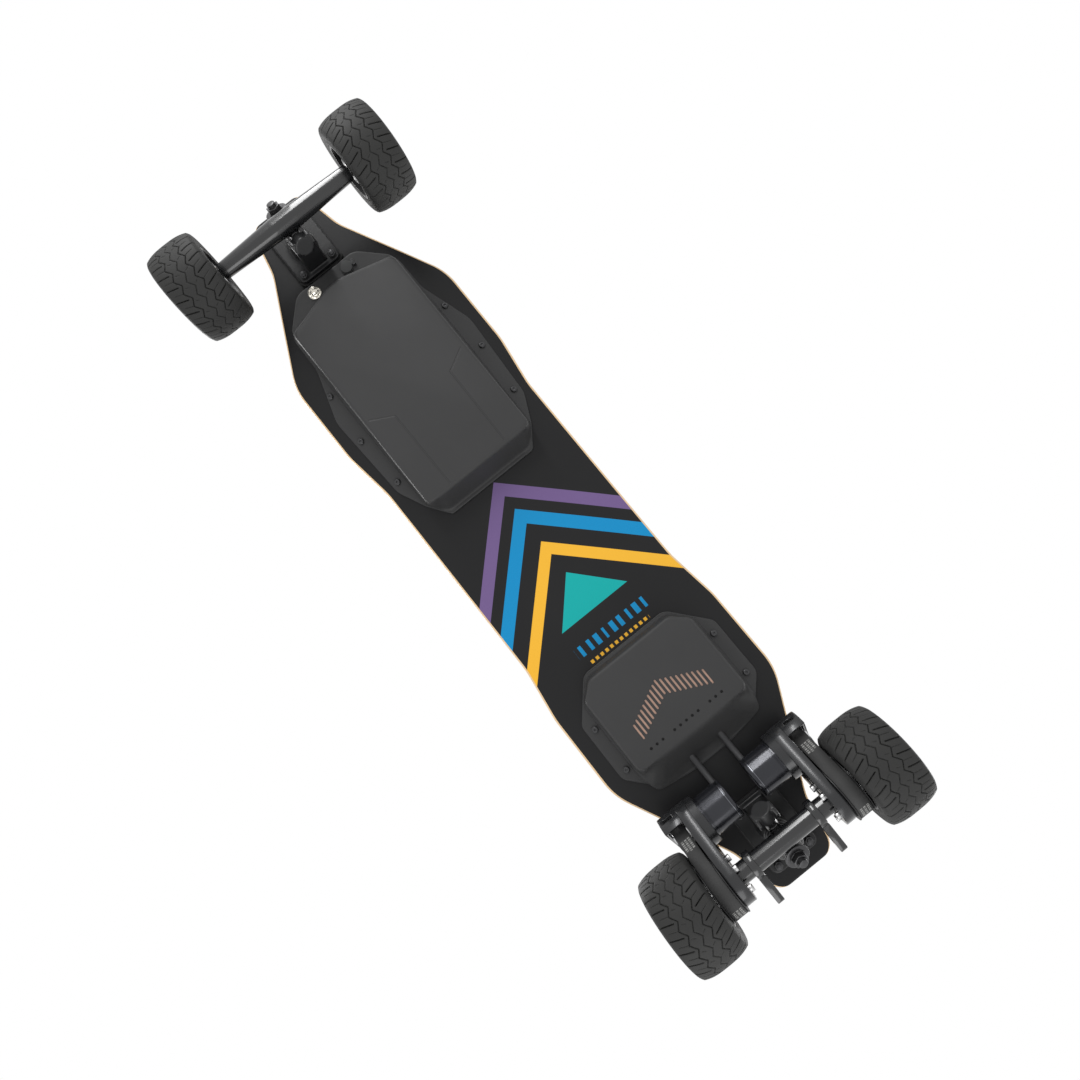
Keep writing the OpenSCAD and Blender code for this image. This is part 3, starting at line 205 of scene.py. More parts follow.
# ---------------------------------------------------------------- shader graphs
class Graph:
    """Short names for the shader nodes used below. Numbers and sockets mix freely."""

    def __init__(self, name):
        self.mat = bpy.data.materials.new(name)
        self.mat.use_nodes = True
        self.tree = self.mat.node_tree
        self.tree.nodes.clear()
        self.out = self.tree.nodes.new("ShaderNodeOutputMaterial")
        self.bsdf = self.tree.nodes.new("ShaderNodeBsdfPrincipled")
        self.tree.links.new(self.bsdf.outputs[0], self.out.inputs[0])
        self.place = self.tree.nodes.new("ShaderNodeTexCoord").outputs["Object"]
        split = self.tree.nodes.new("ShaderNodeSeparateXYZ")
        self.tree.links.new(self.place, split.inputs[0])
        self.x, self.y, self.z = split.outputs

    def put(self, socket, value):
        if isinstance(value, bpy.types.NodeSocket):
            self.tree.links.new(value, socket)
        elif hasattr(value, "__len__") and len(value) == 3 and socket.type == "RGBA":
            socket.default_value = (*value, 1)
        else:
            socket.default_value = value

    def math(self, op, a, b=0.0, c=0.0):
        n = self.tree.nodes.new("ShaderNodeMath")
        n.operation = op
        for s, v in zip(n.inputs, (a, b, c)):
            self.put(s, v)
        return n.outputs[0]

    def step(self, value, low, high):
        """0 below low, 1 above high, smooth between."""
        n = self.tree.nodes.new("ShaderNodeMapRange")
        n.interpolation_type = "SMOOTHSTEP"
        self.put(n.inputs["Value"], value)
        n.inputs["From Min"].default_value = low
        n.inputs["From Max"].default_value = high
        return n.outputs[0]

    def within(self, value, low, high, soft=0.0002):
        """1 where value lies between low and high."""
        up = self.step(value, low - soft, low + soft)
        down = self.step(value, high - soft, high + soft)
        return self.math("MULTIPLY", up, self.math("SUBTRACT", 1.0, down))

    def noise(self, scale, detail=3.0, rough=0.5, stretch=None, at=None):
        at = at or self.place
        if stretch:
            m = self.tree.nodes.new("ShaderNodeMapping")
            m.inputs["Scale"].default_value = stretch
            self.tree.links.new(at, m.inputs[0])
            at = m.outputs[0]
        n = self.tree.nodes.new("ShaderNodeTexNoise")
        n.inputs["Scale"].default_value = scale
        n.inputs["Detail"].default_value = detail
        n.inputs["Roughness"].default_value = rough
        self.tree.links.new(at, n.inputs["Vector"])
        return n.outputs["Fac"]

    def cells(self, scale, feature="F1"):
        n = self.tree.nodes.new("ShaderNodeTexVoronoi")
        n.feature = feature
        n.inputs["Scale"].default_value = scale
        self.tree.links.new(self.place, n.inputs["Vector"])
        return n.outputs["Distance"]

    def mix(self, fac, a, b):
        n = self.tree.nodes.new("ShaderNodeMix")
        n.data_type = "RGBA"
        self.put(n.inputs[0], fac)
        self.put(n.inputs[6], a)
        self.put(n.inputs[7], b)
        return n.outputs[2]

    def bump(self, height, depth, strength=1.0, under=None):
        n = self.tree.nodes.new("ShaderNodeBump")
        n.inputs["Strength"].default_value = strength
        n.inputs["Distance"].default_value = depth
        self.put(n.inputs["Height"], height)
        if under is not None:
            self.tree.links.new(under, n.inputs["Normal"])
        return n.outputs[0]

    def spread(self, value, low, high):
        """Maps 0..1 to low..high."""
        return self.math("MULTIPLY_ADD", value, high - low, low)

    def finish(self, color, rough, metal=0.0, normal=None, **extra):
        self.put(self.bsdf.inputs["Base Color"], color)
        self.put(self.bsdf.inputs["Roughness"], rough)
        self.put(self.bsdf.inputs["Metallic"], metal)
        if normal is not None:
            self.tree.links.new(normal, self.bsdf.inputs["Normal"])
        for k, v in extra.items():
            self.put(self.bsdf.inputs[k.replace("_", " ")], v)
        return self.mat


def shade(c, k):
    return tuple(min(1.0, v * k) for v in c)


def plain(name, color, rough, metal=0.0, grain=900.0, depth=0.00006, vary=0.18, coat=0.0, stretch=None,
          gloss=0.5):
    """Moulded, painted or machined surface with uneven tone, uneven gloss and a fine grain."""
    g = Graph(name)
    broad = g.noise(14.0, 4.0, 0.6)
    fine = g.noise(grain, 3.0, 0.6, stretch)
    color = g.mix(broad, shade(color, 1 - vary), shade(color, 1 + vary))
    rough = g.math("ADD", g.spread(broad, rough - 0.05, rough + 0.05), g.spread(fine, -0.03, 0.05))
    extra = {"Specular_IOR_Level": gloss}
    if coat:
        extra.update(Coat_Weight=coat, Coat_Roughness=0.12)
    return g.finish(color, rough, metal, g.bump(fine, depth), **extra)


BLUE, YELLOW = (0.0, 0.20, 0.43), (0.70, 0.37, 0.026)
PURPLE, TEAL = (0.128, 0.080, 0.20), (0.0, 0.31, 0.30)
PLY_PAIR = 0.00267  # a light and a dark ply together, in metres


def deck_under():
    """Satin black with the coloured chevrons, the triangle and a row of plain marks."""
    g = Graph("deck_under")
    v = g.math("ADD", g.x, g.math("ABSOLUTE", g.y))
    fine = g.noise(700.0, 3.0)
    color = g.mix(g.noise(9.0, 3.0), (0.0055, 0.0055, 0.006), (0.0095, 0.0095, 0.010))
    for low, high, tint in (
            (0.042, 0.063, PURPLE),
            (0.001, 0.023, BLUE),
            (-0.045, -0.026, YELLOW)):
        color = g.mix(g.within(v, low, high), color, tint)
    tip = g.math("MULTIPLY_ADD", g.math("ABSOLUTE", g.y), 1.09, g.x)
    inside = g.math("MULTIPLY", g.math("SUBTRACT", 1.0, g.step(tip, -0.0722, -0.0718)),
                    g.step(g.x, -0.1242, -0.1238))
    color = g.mix(inside, color, TEAL)
    # plain marks: a row of bars of different widths, then a shorter row of dashes
    row = g.math("MULTIPLY", g.within(g.x, -0.160, -0.147), g.within(g.y, -0.050, 0.050))
    wave = g.math("SINE", g.math("MULTIPLY", g.y, 560.0))
    slow = g.math("SINE", g.math("MULTIPLY", g.y, 215.0))
    bars = g.step(g.math("ADD", wave, g.math("MULTIPLY", slow, 0.5)), 0.15, 0.22)
    color = g.mix(g.math("MULTIPLY", row, bars), color, BLUE)
    row = g.math("MULTIPLY", g.within(g.x, -0.172, -0.168), g.within(g.y, -0.042, 0.042))
    dash = g.step(g.math("SINE", g.math("MULTIPLY", g.y, 900.0)), -0.2, -0.1)
    color = g.mix(g.math("MULTIPLY", row, dash), color, YELLOW)
    rough = g.spread(g.noise(20.0, 4.0), 0.36, 0.48)
    return g.finish(color, rough, 0.0, g.bump(fine, 0.00005), Specular_IOR_Level=0.2, Coat_Weight=0.05,
                    Coat_Roughness=0.25)


def wood_edge():
    """Nine plies seen on edge: thin alternating lines of lighter and darker maple."""
    g = Graph("deck_edge")
    arch = g.math("SQRT", g.math("SUBTRACT", (CAMBER_R * MM) ** 2, g.math("MULTIPLY", g.x, g.x)))
    over = g.math("MAXIMUM", g.math("SUBTRACT", g.math("ABSOLUTE", g.y), FLAT_W / 2 * MM), 0.0)
    lift = g.math("MULTIPLY", g.math("POWER", over, 2.0), CONCAVE * MM / ((DECK_W - FLAT_W) / 2 * MM) ** 2)
    h = g.math("SUBTRACT", g.math("SUBTRACT", g.z, arch), g.math("ADD", lift, CAMBER_Z * MM))
    ply = g.math("SINE", g.math("MULTIPLY", h, math.tau / PLY_PAIR))
    lines = g.step(ply, -0.35, 0.35)
    grain = g.noise(60.0, 5.0, 0.6, (1.0, 1.0, 9.0))
    color = g.mix(lines, (0.50, 0.33, 0.17), (0.72, 0.52, 0.30))
    color = g.mix(g.spread(grain, 0.0, 0.5), color, (0.40, 0.25, 0.12))
    return g.finish(color, g.spread(grain, 0.34, 0.5), 0.0, g.bump(grain, 0.0001), Coat_Weight=0.3)


def grip_top():
    """Coarse grit on black, with plain coloured bars beside the middle line."""
    g = Graph("grip_grit")
    grit = g.cells(900.0)
    fine = g.noise(1500.0, 4.0, 0.7)
    dark = g.mix(g.step(grit, 0.2, 0.75), (0.105, 0.105, 0.113), (0.030, 0.030, 0.033))
    speck = g.step(g.noise(1100.0, 2.0, 0.5), 0.66, 0.7)
    color = g.mix(g.math("MULTIPLY", speck, 0.6), dark, (0.34, 0.34, 0.36))
    first = g.math("MULTIPLY", g.within(g.x, -0.092, 0.030, 0.0006), g.within(g.y, -0.058, -0.046, 0.0006))
    second = g.math("MULTIPLY", g.within(g.x, -0.050, 0.072, 0.0006), g.within(g.y, -0.035, -0.023, 0.0006))
    color = g.mix(g.math("MULTIPLY", first, 0.92), color, (0.0, 0.36, 0.52))
    color = g.mix(g.math("MULTIPLY", second, 0.92), color, (0.85, 0.50, 0.05))
    height = g.math("ADD", g.math("MULTIPLY", grit, -1.0), fine)
    return g.finish(color, g.spread(fine, 0.72, 0.95), 0.0, g.bump(height, 0.0004))


def cover_shell(name, lines):
    """Charcoal moulded plastic: fine spark-eroded grain and moulded panel lines."""
    g = Graph(name)
    broad = g.noise(11.0, 4.0, 0.6)
    fine = g.noise(1500.0, 4.0, 0.65)
    color = g.mix(broad, (0.024, 0.024, 0.0245), (0.031, 0.031, 0.0315))
    side = g.math("ABSOLUTE", g.y)
    groove = None
    for (x0, y0), (x1, y1) in lines:
        dx, dy = x1 - x0, y1 - y0
        size = dx * dx + dy * dy
        px, py = g.math("SUBTRACT", g.x, x0), g.math("SUBTRACT", side, y0)
        t = g.math("DIVIDE", g.math("ADD", g.math("MULTIPLY", px, dx), g.math("MULTIPLY", py, dy)), size)
        t = g.math("MINIMUM", g.math("MAXIMUM", t, 0.0), 1.0)
        ex = g.math("SUBTRACT", px, g.math("MULTIPLY", t, dx))
        ey = g.math("SUBTRACT", py, g.math("MULTIPLY", t, dy))
        dist = g.math("SQRT", g.math("ADD", g.math("MULTIPLY", ex, ex), g.math("MULTIPLY", ey, ey)))
        near = g.step(dist, 0.0003, 0.0014)
        groove = near if groove is None else g.math("MINIMUM", groove, near)
    normal = g.bump(fine, 0.00007)
    if groove is not None:
        normal = g.bump(groove, 0.0007, 0.8, normal)
    return g.finish(color, g.spread(g.noise(30.0), 0.46, 0.58), 0.0, normal, Specular_IOR_Level=0.3)


def rubber_tyre():
    g = Graph("tyre_rubber")
    broad, fine = g.noise(18.0, 5.0, 0.6), g.noise(600.0, 4.0, 0.6)
    color = g.mix(broad, (0.011, 0.011, 0.011), (0.021, 0.021, 0.020))
    color = g.mix(g.spread(fine, 0.0, 0.3), color, (0.034, 0.034, 0.033))
    return g.finish(color, g.spread(broad, 0.55, 0.72), 0.0, g.bump(fine, 0.00012), Specular_IOR_Level=0.3)


def floor_surface():
    """Pale studio floor, clear from underneath because the camera stands below the board."""
    g = Graph("studio_floor")
    tone = g.noise(1.4, 3.0)
    g.finish(g.mix(tone, (0.76, 0.76, 0.76), (0.80, 0.80, 0.80)), g.spread(tone, 0.55, 0.7))
    clear = g.tree.nodes.new("ShaderNodeBsdfTransparent")
    choose = g.tree.nodes.new("ShaderNodeMixShader")
    back = g.tree.nodes.new("ShaderNodeNewGeometry").outputs["Backfacing"]
    g.tree.links.new(back, choose.inputs[0])
    g.tree.links.new(g.bsdf.outputs[0], choose.inputs[1])
    g.tree.links.new(clear.outputs[0], choose.inputs[2])
    g.tree.links.new(choose.outputs[0], g.out.inputs[0])
    return g.mat


GROOVES = [((0.198, 0.066), (0.184, 0.040)), ((0.184, 0.040), (0.085, 0.039))]
MATS = {
    "deck_under": deck_under(), "deck_edge": wood_edge(), "grip": grip_top(),
    "battery_shell": cover_shell("battery_shell", GROOVES),
    "controller_shell": cover_shell("controller_shell", []),
    "tyre": rubber_tyre(),
    "steel": plain("zinc_steel", (0.55, 0.55, 0.55), 0.30, 1.0, 500.0, 0.00003, 0.12),
    "black_steel": plain("black_steel", (0.05, 0.05, 0.052), 0.34, 0.7, 700.0, 0.00003),
    "cast": plain("truck_paint", (0.0075, 0.0078, 0.0085), 0.20, 0.0, 260.0, 0.00004, 0.2, 0.5, gloss=0.45),
    "plate": plain("baseplate_paint", (0.0085, 0.0087, 0.0093), 0.36, 0.0, 260.0, 0.00004, 0.2, 0.1, gloss=0.3),
    "rubber": plain("black_rubber", (0.011, 0.011, 0.011), 0.62, 0.0, 900.0, 0.00008, gloss=0.3),
    "bushing": plain("bushing_urethane", (0.014, 0.014, 0.015), 0.42, 0.0, 500.0, 0.00005, 0.15, 0.1,
                     gloss=0.35),
    "hub": plain("hub_nylon", (0.009, 0.009, 0.010), 0.40, 0.0, 800.0, 0.00006, gloss=0.3),
    "bearing": plain("bearing_steel", (0.60, 0.60, 0.60), 0.20, 1.0, 900.0, 0.00001, 0.08),
    "motor": plain("motor_shell", (0.022, 0.023, 0.028), 0.20, 0.6, 240.0, 0.00002, 0.2, 0.2, (1.0, 14.0, 1.0)),
    "motor_end": plain("motor_bell", (0.014, 0.014, 0.017), 0.32, 0.5, 400.0, 0.00003),
    "motor_ring": plain("motor_ring", (0.16, 0.165, 0.18), 0.24, 1.0, 500.0, 0.00002, 0.1),
    "pulley": plain("pulley_nylon", (0.012, 0.012, 0.013), 0.44, 0.0, 700.0, 0.00005, gloss=0.3),
    "alloy": plain("pulley_alloy", (0.60, 0.60, 0.61), 0.28, 1.0, 600.0, 0.00003, 0.1),
    "belt": plain("belt_cloth", (0.022, 0.022, 0.022), 0.66, 0.0, 1800.0, 0.00015, 0.2),
    "belt_print": plain("belt_print", (0.26, 0.26, 0.25), 0.6, 0.0, 1500.0, 0.00005, 0.1),
    "mount": plain("mount_anodised", (0.017, 0.0175, 0.019), 0.26, 0.4, 420.0, 0.00003, 0.18, 0.25),
    "socket": plain("socket_plastic", (0.035, 0.035, 0.037), 0.42, 0.0, 900.0, 0.00005),
    "cap": plain("cap_rubber", (0.022, 0.023, 0.023), 0.58, 0.0, 800.0, 0.00008),
    "button": plain("button_metal", (0.66, 0.63, 0.56), 0.22, 1.0, 450.0, 0.00004, 0.15),
    "wrap": plain("cell_wrap", (0.012, 0.06, 0.32), 0.25, 0.0, 300.0, 0.00003),
    "board": plain("circuit_board", (0.004, 0.05, 0.02), 0.35, 0.0, 500.0, 0.00004),
    "sink": plain("heat_sink", (0.46, 0.29, 0.22), 0.34, 0.35, 400.0, 0.00004),
    "red_lead": plain("red_lead", (0.32, 0.01, 0.01), 0.5, 0.0, 600.0, 0.00005),
    "lead": plain("lead_sleeve", (0.024, 0.024, 0.026), 0.55, 0.0, 1600.0, 0.0002),
}


# ---------------------------------------------------------------- meshes
def smooth(mesh, angle=32.0):
    mesh.polygons.foreach_set("use_smooth", [True] * len(mesh.polygons))
    mesh.set_sharp_from_angle(angle=math.radians(angle))


def add(name, verts, faces, mat, body="root", angle=32.0, index=None, fix=True):
    """New piece from points in millimetres, in the row frame."""
    mesh = bpy.data.meshes.new(name)
    mesh.from_pydata([tuple(float(c) * MM for c in v) for v in verts], [], [tuple(map(int, f)) for f in faces])
    for m in (mat if isinstance(mat, list) else [mat]):
        mesh.materials.append(MATS[m])
    if index is not None:
        mesh.polygons.foreach_set("material_index", index)
    if fix:
        b = bmesh.new()
        b.from_mesh(mesh)
        bmesh.ops.recalc_face_normals(b, faces=b.faces)
        b.to_mesh(mesh)
        b.free()
    smooth(mesh, angle)
    o = bpy.data.objects.new(name, mesh)
    bpy.context.scene.collection.objects.link(o)
    if body:
        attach(o, body)
    return o


def stack(rings, loop=False):
    """Points and faces that join rings of equally many points, closed into a loop or capped at both ends."""
    n, m = len(rings[0]), len(rings)
    verts = [p for r in rings for p in r]
    faces = []
    for i in range(m if loop else m - 1):
        a, b = i * n, ((i + 1) % m) * n
        faces += [(a + k, a + (k + 1) % n, b + (k + 1) % n, b + k) for k in range(n)]
    if not loop:
        faces.append(tuple(range(n))[::-1])
        faces.append(tuple(range((m - 1) * n, m * n)))
    return verts, faces


def moved(verts, matrix):
    m = np.array(matrix)
    v = np.asarray(verts, float)
    return v @ m[:3, :3].T + m[:3, 3]


def applied(o):
    """Replaces an object's mesh by what its modifiers make of it."""
    dg = bpy.context.evaluated_depsgraph_get()
    dg.update()
    mesh = bpy.data.meshes.new_from_object(o.evaluated_get(dg))
    o.modifiers.clear()
    o.data = mesh
    return o


def dress(node, mat, body=None, bevel=0.35, lift=None):
    """A copy of a CAD node with its edges broken and its own finish."""
    source = NODES[node]
    mesh = source.data.copy()
    mesh.materials.clear()
    mesh.materials.append(MATS[mat])
    b = bmesh.new()
    b.from_mesh(mesh)
    bmesh.ops.remove_doubles(b, verts=b.verts, dist=2e-6)
    bmesh.ops.dissolve_limit(b, angle_limit=math.radians(0.6), verts=b.verts, edges=b.edges)
    if lift:
        bmesh.ops.translate(b, verts=b.verts, vec=lift)
    b.to_mesh(mesh)
    b.free()
    mesh.polygons.foreach_set("material_index", [0] * len(mesh.polygons))
    o = bpy.data.objects.new("v_" + node, mesh)
    bpy.context.scene.collection.objects.link(o)
    if bevel:
        mod = o.modifiers.new("edges", "BEVEL")
        mod.width = bevel * MM
        mod.segments = 2
        mod.limit_method = "ANGLE"
        mod.angle_limit = math.radians(34)
        mod.use_clamp_overlap = True
        applied(o)
    smooth(o.data, 34.0)
    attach(o, body or source["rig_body"])
    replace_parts(o, node)
    return o


def cast(node, mat, voxel=0.9, rounds=5):
    """A copy of a CAD node with the soft fillets of a casting."""
    o = dress(node, mat, bevel=0)
    mod = o.modifiers.new("skin", "REMESH")
    mod.mode = "VOXEL"
    mod.voxel_size = voxel * MM
    applied(o)
    mod = o.modifiers.new("fillets", "SMOOTH")
    mod.factor = 0.5
    mod.iterations = rounds
    applied(o)
    if not o.data.materials:
        o.data.materials.append(MATS[mat])
    smooth(o.data, 60.0)
    return o


# ---------------------------------------------------------------- deck and grip tape
rim = deck_outline(0)
half_rim = rim[rim[:, 1] > 0]
half_rim = half_rim[np.argsort(half_rim[:, 0])]
grip_rim = deck_outline(1)
half_grip = grip_rim[grip_rim[:, 1] > 0]
half_grip = half_grip[np.argsort(half_grip[:, 0])]


def slab(name, table, low, high, edge, mats, across=26):
    """Layer of the deck, cut to a plan outline, with its rim rounded by the radius edge."""
    h = table[-1, 0]
    fine = h - np.array([0.0, 0.15, 0.4, 0.8, 1.3, 1.9, 2.6, 3.6, 5, 7, 9.5, 12.5, 16, 20])
    xs = np.concatenate([-fine, np.linspace(-h + 24, h - 24, 190), fine[::-1]])
    turn = np.radians(np.linspace(0, 90, 5))
    rings, tags = [], []
    for x in xs:
        w = float(np.interp(x, table[:, 0], table[:, 1]))
        d = h - abs(x)
        sunk = edge - math.sqrt(max(0.0, edge ** 2 - (edge - d) ** 2)) if d < edge else 0.0
        lo, hi = low + sunk, high - sunk
        r = min(edge, (hi - lo) / 2 - 0.01)
        ys = np.linspace(-1, 1, across) * (w - r)
        pts = [(y, lo) for y in ys]
        pts += [(w - r + r * math.sin(t), lo + r - r * math.cos(t)) for t in turn[1:]]
        pts += [(w - r + r * math.cos(t), hi - r + r * math.sin(t)) for t in turn]
        pts += [(y, hi) for y in ys[::-1][1:]]
        pts += [(-(w - r) - r * math.sin(t), hi - r + r * math.cos(t)) for t in turn[1:]]
        pts += [(-(w - r) - r * math.cos(t), lo + r - r * math.sin(t)) for t in turn[:-1]]
        rings.append([(x, y, float(surface_z(x, y, q))) for y, q in pts])
        tags = [(abs(y) <= w - r + 0.2 * r and q < lo + 0.5 * r, q > hi - 0.3 * r) for y, q in pts]
    verts, faces = stack(rings)
    n = len(rings[0])
    index = []
    for f in faces:
        ks = [v % n for v in f]
        if len(f) > 4:
            index.append(1)
        elif all(tags[k][0] for k in ks):
            index.append(0)
        else:
            index.append(1)
    return add(name, verts, faces, mats, angle=40.0, index=index if len(mats) > 1 else None)


deck = slab("deck_board", half_rim, 0.0, DECK_T, 2.2, ["deck_under", "deck_edge"])
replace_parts(deck, "deck")
grip = slab("grip_sheet", half_grip, DECK_T + 0.1, DECK_T + GRIP_T, 0.35, ["grip"])
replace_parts(grip, "grip_tape")


# ---------------------------------------------------------------- covers
def polar(outline, centre, angles):
    """Distance of an outline from a centre at the given angles."""
    d = outline - np.asarray(centre)
    a = np.arctan2(d[:, 1], d[:, 0])
    order = np.argsort(a)
    a, r = a[order], np.hypot(d[:, 0], d[:, 1])[order]
    # straight runs are split first, so that they stay straight in polar form
    p = d[order]
    fine_a, fine_r = [], []
    for i in range(len(p)):
        q = p[(i + 1) % len(p)]
        steps = max(1, int(np.linalg.norm(q - p[i]) / 0.8))
        for k in range(steps):
            s = p[i] + (q - p[i]) * k / steps
            fine_a.append(math.atan2(s[1], s[0]))
            fine_r.append(math.hypot(*s))
    fine_a, fine_r = np.array(fine_a), np.array(fine_r)
    order = np.argsort(fine_a)
    return np.interp(angles, fine_a[order], fine_r[order], period=math.tau)


def even_angles(outline, centre, count):
    d = np.vstack([outline, outline[:1]]) - np.asarray(centre)
    run = np.concatenate([[0], np.cumsum(np.linalg.norm(np.diff(d, axis=0), axis=1))])
    s = np.linspace(0, run[-1], count, endpoint=False)
    return np.arctan2(np.interp(s, run, d[:, 1]), np.interp(s, run, d[:, 0]))


def cover(name, flange, box, x0, depth, mat, count=420, edge=4.0, foot=3.0):
    """Moulded cover: a flange that follows the deck, a drafted wall and a flat face with rounded edges."""
    angles = even_angles(flange, (x0, 0), count)
    c, s = np.cos(angles), np.sin(angles)
    rim_r = polar(flange, (x0, 0), angles)
    low, top = polar(box(1.0), (0, 0), angles), polar(box(0.0), (0, 0), angles)
    m = deck_matrix(x0)
    rings = []

    def on_deck(r, h):
        x, y = x0 + r * c, r * s
        rings.append(np.c_[x, y, surface_z(x, y, h)])

    def in_frame(r, z):
        rings.append(moved(np.c_[r * c, r * s, np.full(count, z)], m))

    def wall(z):
        return top + (low - top) * (-2.0 - z) / (depth - 2.0)

    on_deck(rim_r - 1.2, -1.0)
    on_deck(rim_r, -1.1)
    for t in np.radians((0, 30, 60, 90)):
        on_deck(rim_r - 1.2 + 1.2 * math.cos(t), -2.8 - 1.2 * math.sin(t))
    base = wall(-4.0) + foot
    for k in (0.25, 0.5, 0.75, 1.0):
        on_deck((rim_r - 1.2) * (1 - k) + np.minimum(base, rim_r - 1.3) * k, -4.0)
    for t in np.radians((30, 60, 90)):
        z = -4.0 - foot * (1 - math.cos(t)) - 2.0
        in_frame(np.minimum(wall(z) + foot * (1 - math.sin(t)), rim_r - 1.4), z)
    for z in np.linspace(-12, -depth + edge, 6):
        in_frame(wall(z), z)
    for t in np.radians((15, 30, 45, 60, 75, 90)):
        z = -depth + edge - edge * math.sin(t)
        in_frame(wall(z) - edge * (1 - math.cos(t)), z)
    verts, faces = stack(rings)
    return add(name, verts, faces, mat, angle=40.0)


def shelf():
    """The lower step in front of the battery box that carries the controls."""
    outline = shelf_outline()
    centre = (BATTERY_LEN / 2 - 40, 0)
    angles = even_angles(outline, centre, 260)
    r = polar(outline, centre, angles)
    c, s = np.cos(angles), np.sin(angles)
    m = deck_matrix(BATTERY_X)
    rings = []
    for inset, z in [(0, -3.0), (0, -8.0), (0, -14.0)] + [
            (3 * (1 - math.cos(t)), -14.0 - 3 * math.sin(t)) for t in np.radians((20, 40, 60, 75, 90))]:
        rings.append(moved(np.c_[centre[0] + (r - inset) * c, (r - inset) * s, np.full(260, z)], m))
    verts, faces = stack(rings)
    return add("battery_shelf", verts, faces, "battery_shell", angle=40.0)


battery = cover("battery_shell", battery_flange(), battery_box, BATTERY_X, BATTERY_DEPTH, "battery_shell")
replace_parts(battery, "battery_cover")
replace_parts(shelf(), "battery_cover")


def boxes(places, size):
    """Closed boxes of one size at several places, in one local frame."""
    verts, faces = [], []
    for x, y, z in places:
        at = len(verts)
        for dx in (-1, 1):
            for dy in (-1, 1):
                for dz in (-1, 1):
                    verts.append((x + dx * size[0] / 2, y + dy * size[1] / 2, z + dz * size[2] / 2))
        for f in ((0, 1, 3, 2), (4, 6, 7, 5), (0, 4, 5, 1), (2, 3, 7, 6), (0, 2, 6, 4), (1, 5, 7, 3)):
            faces.append(tuple(at + k for k in f))
    return verts, faces


def pills(places, length, width, z0, z1, ends=6):
    """Closed rounded slots along X."""
    verts, faces = [], []
    r = width / 2
    turn = [math.pi / 2 + math.pi * k / ends for k in range(ends + 1)]
    plan = [(-length / 2 + r + r * math.cos(t), r * math.sin(t)) for t in turn]
    plan += [(length / 2 - r - r * math.cos(t), -r * math.sin(t)) for t in turn]
    n = len(plan)
    for x, y in places:
        at = len(verts)
        verts += [(x + a, y + b, z0) for a, b in plan] + [(x + a, y + b, z1) for a, b in plan]
        faces += [(at + k, at + (k + 1) % n, at + n + (k + 1) % n, at + n + k) for k in range(n)]
        faces += [tuple(at + k for k in range(n))[::-1], tuple(at + n + k for k in range(n))]
    return verts, faces


controller = cover("controller_shell", controller_flange(), controller_box, CTRL_X, CTRL_DEPTH,
                   "controller_shell")
apex = CTRL_LEN / 2 - 52
SLOT_LEN, SLOT_W, DOT_D = 19.0, 2.2, 3.3
CUT_FROM, CUT_TO = -CTRL_DEPTH - 3, -CTRL_DEPTH + 1.8  # the vents are pockets this far into the shell
slots = [(apex - abs(i) * 2.55 - SLOT_LEN / 2, i * 5.3) for i in range(-9, 10)]
dots = [(-CTRL_LEN / 2 + 50, k * 8.1) for k in range(-6, 7) if abs(k) != 3]
va, fa = pills(slots, SLOT_LEN, SLOT_W, CUT_FROM, CUT_TO)
vb, fb = pills(dots, DOT_D + 0.01, DOT_D, CUT_FROM, CUT_TO)
cutter = add("vent_cutter", moved(va + vb, deck_matrix(CTRL_X)),
             fa + [tuple(k + len(va) for k in f) for f in fb], "rubber", body=None)
cut = controller.modifiers.new("vents", "BOOLEAN")
cut.operation = "DIFFERENCE"
cut.solver = "EXACT"
cut.object = cutter
applied(controller)
bpy.data.objects.remove(cutter)
smooth(controller.data, 40.0)
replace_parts(controller, "controller_cover")
fins = [(apex - 20, i * 5.3, -CTRL_DEPTH + 2.0) for i in range(-9, 10)]
verts, faces = boxes(fins, (46, 3.6, 0.8))
add("sink_fins", moved(verts, deck_matrix(CTRL_X)), faces, "sink")
# black plates at the bottoms of the dot pockets: painted shade, so the dot vents read dark
verts, faces = boxes([(x, y, -CTRL_DEPTH + 2.0) for x, y in dots], (5, 5, 0.8))
add("dot_vent_painted_shade", moved(verts, deck_matrix(CTRL_X)), faces, "rubber")

dress("cover_gaskets", "rubber", bevel=0)
dress("cover_screws", "black_steel", bevel=0.3)
dress("charge_socket", "socket", bevel=0.2)
dress("charge_cap", "cap", bevel=0.35)
dress("power_button", "button", bevel=0.3)
dress("button_bezel", "button", bevel=0.3)
for node, mat in (("battery_pack", "wrap"), ("controller_board", "board"), ("heat_sink", "sink"),
                  ("power_lead", "red_lead")):
    dress(node, mat, bevel=0)

# ---------------------------------------------------------------- trucks
dress("deck_bolts", "black_steel", bevel=0.15, lift=(0, 0, 0.0005))
dress("deck_nuts", "black_steel", bevel=0.3)
dress("riser_pads", "rubber", bevel=0.5)
cast("front_baseplate", "plate", 0.8, 4)
cast("rear_baseplate", "plate", 0.8, 4)
cast("front_hanger", "cast", 0.8, 6)
cast("rear_hanger", "cast", 0.8, 6)
dress("kingpins", "black_steel", bevel=0.4)
dress("kingpin_nuts", "black_steel", bevel=0.5)
dress("bushing_washers", "black_steel", bevel=0.4)
dress("pivot_cups", "rubber", bevel=0.4)
dress("front_axle", "steel", bevel=0.4)
dress("rear_axle", "steel", bevel=0.4)
dress("front_axle_nuts", "steel", bevel=0.35)
dress("rear_axle_nuts", "steel", bevel=0.35)
dress("rear_prongs", "cast", bevel=1.0)


def revolve(profile, count=64):
    """Rings about the local Z axis from [radius, height] points."""
    rings = []
    for k in range(count):
        t = math.tau * k / count
        rings.append([(r * math.cos(t), r * math.sin(t), z) for r, z in profile])
    return stack(rings, loop=True)


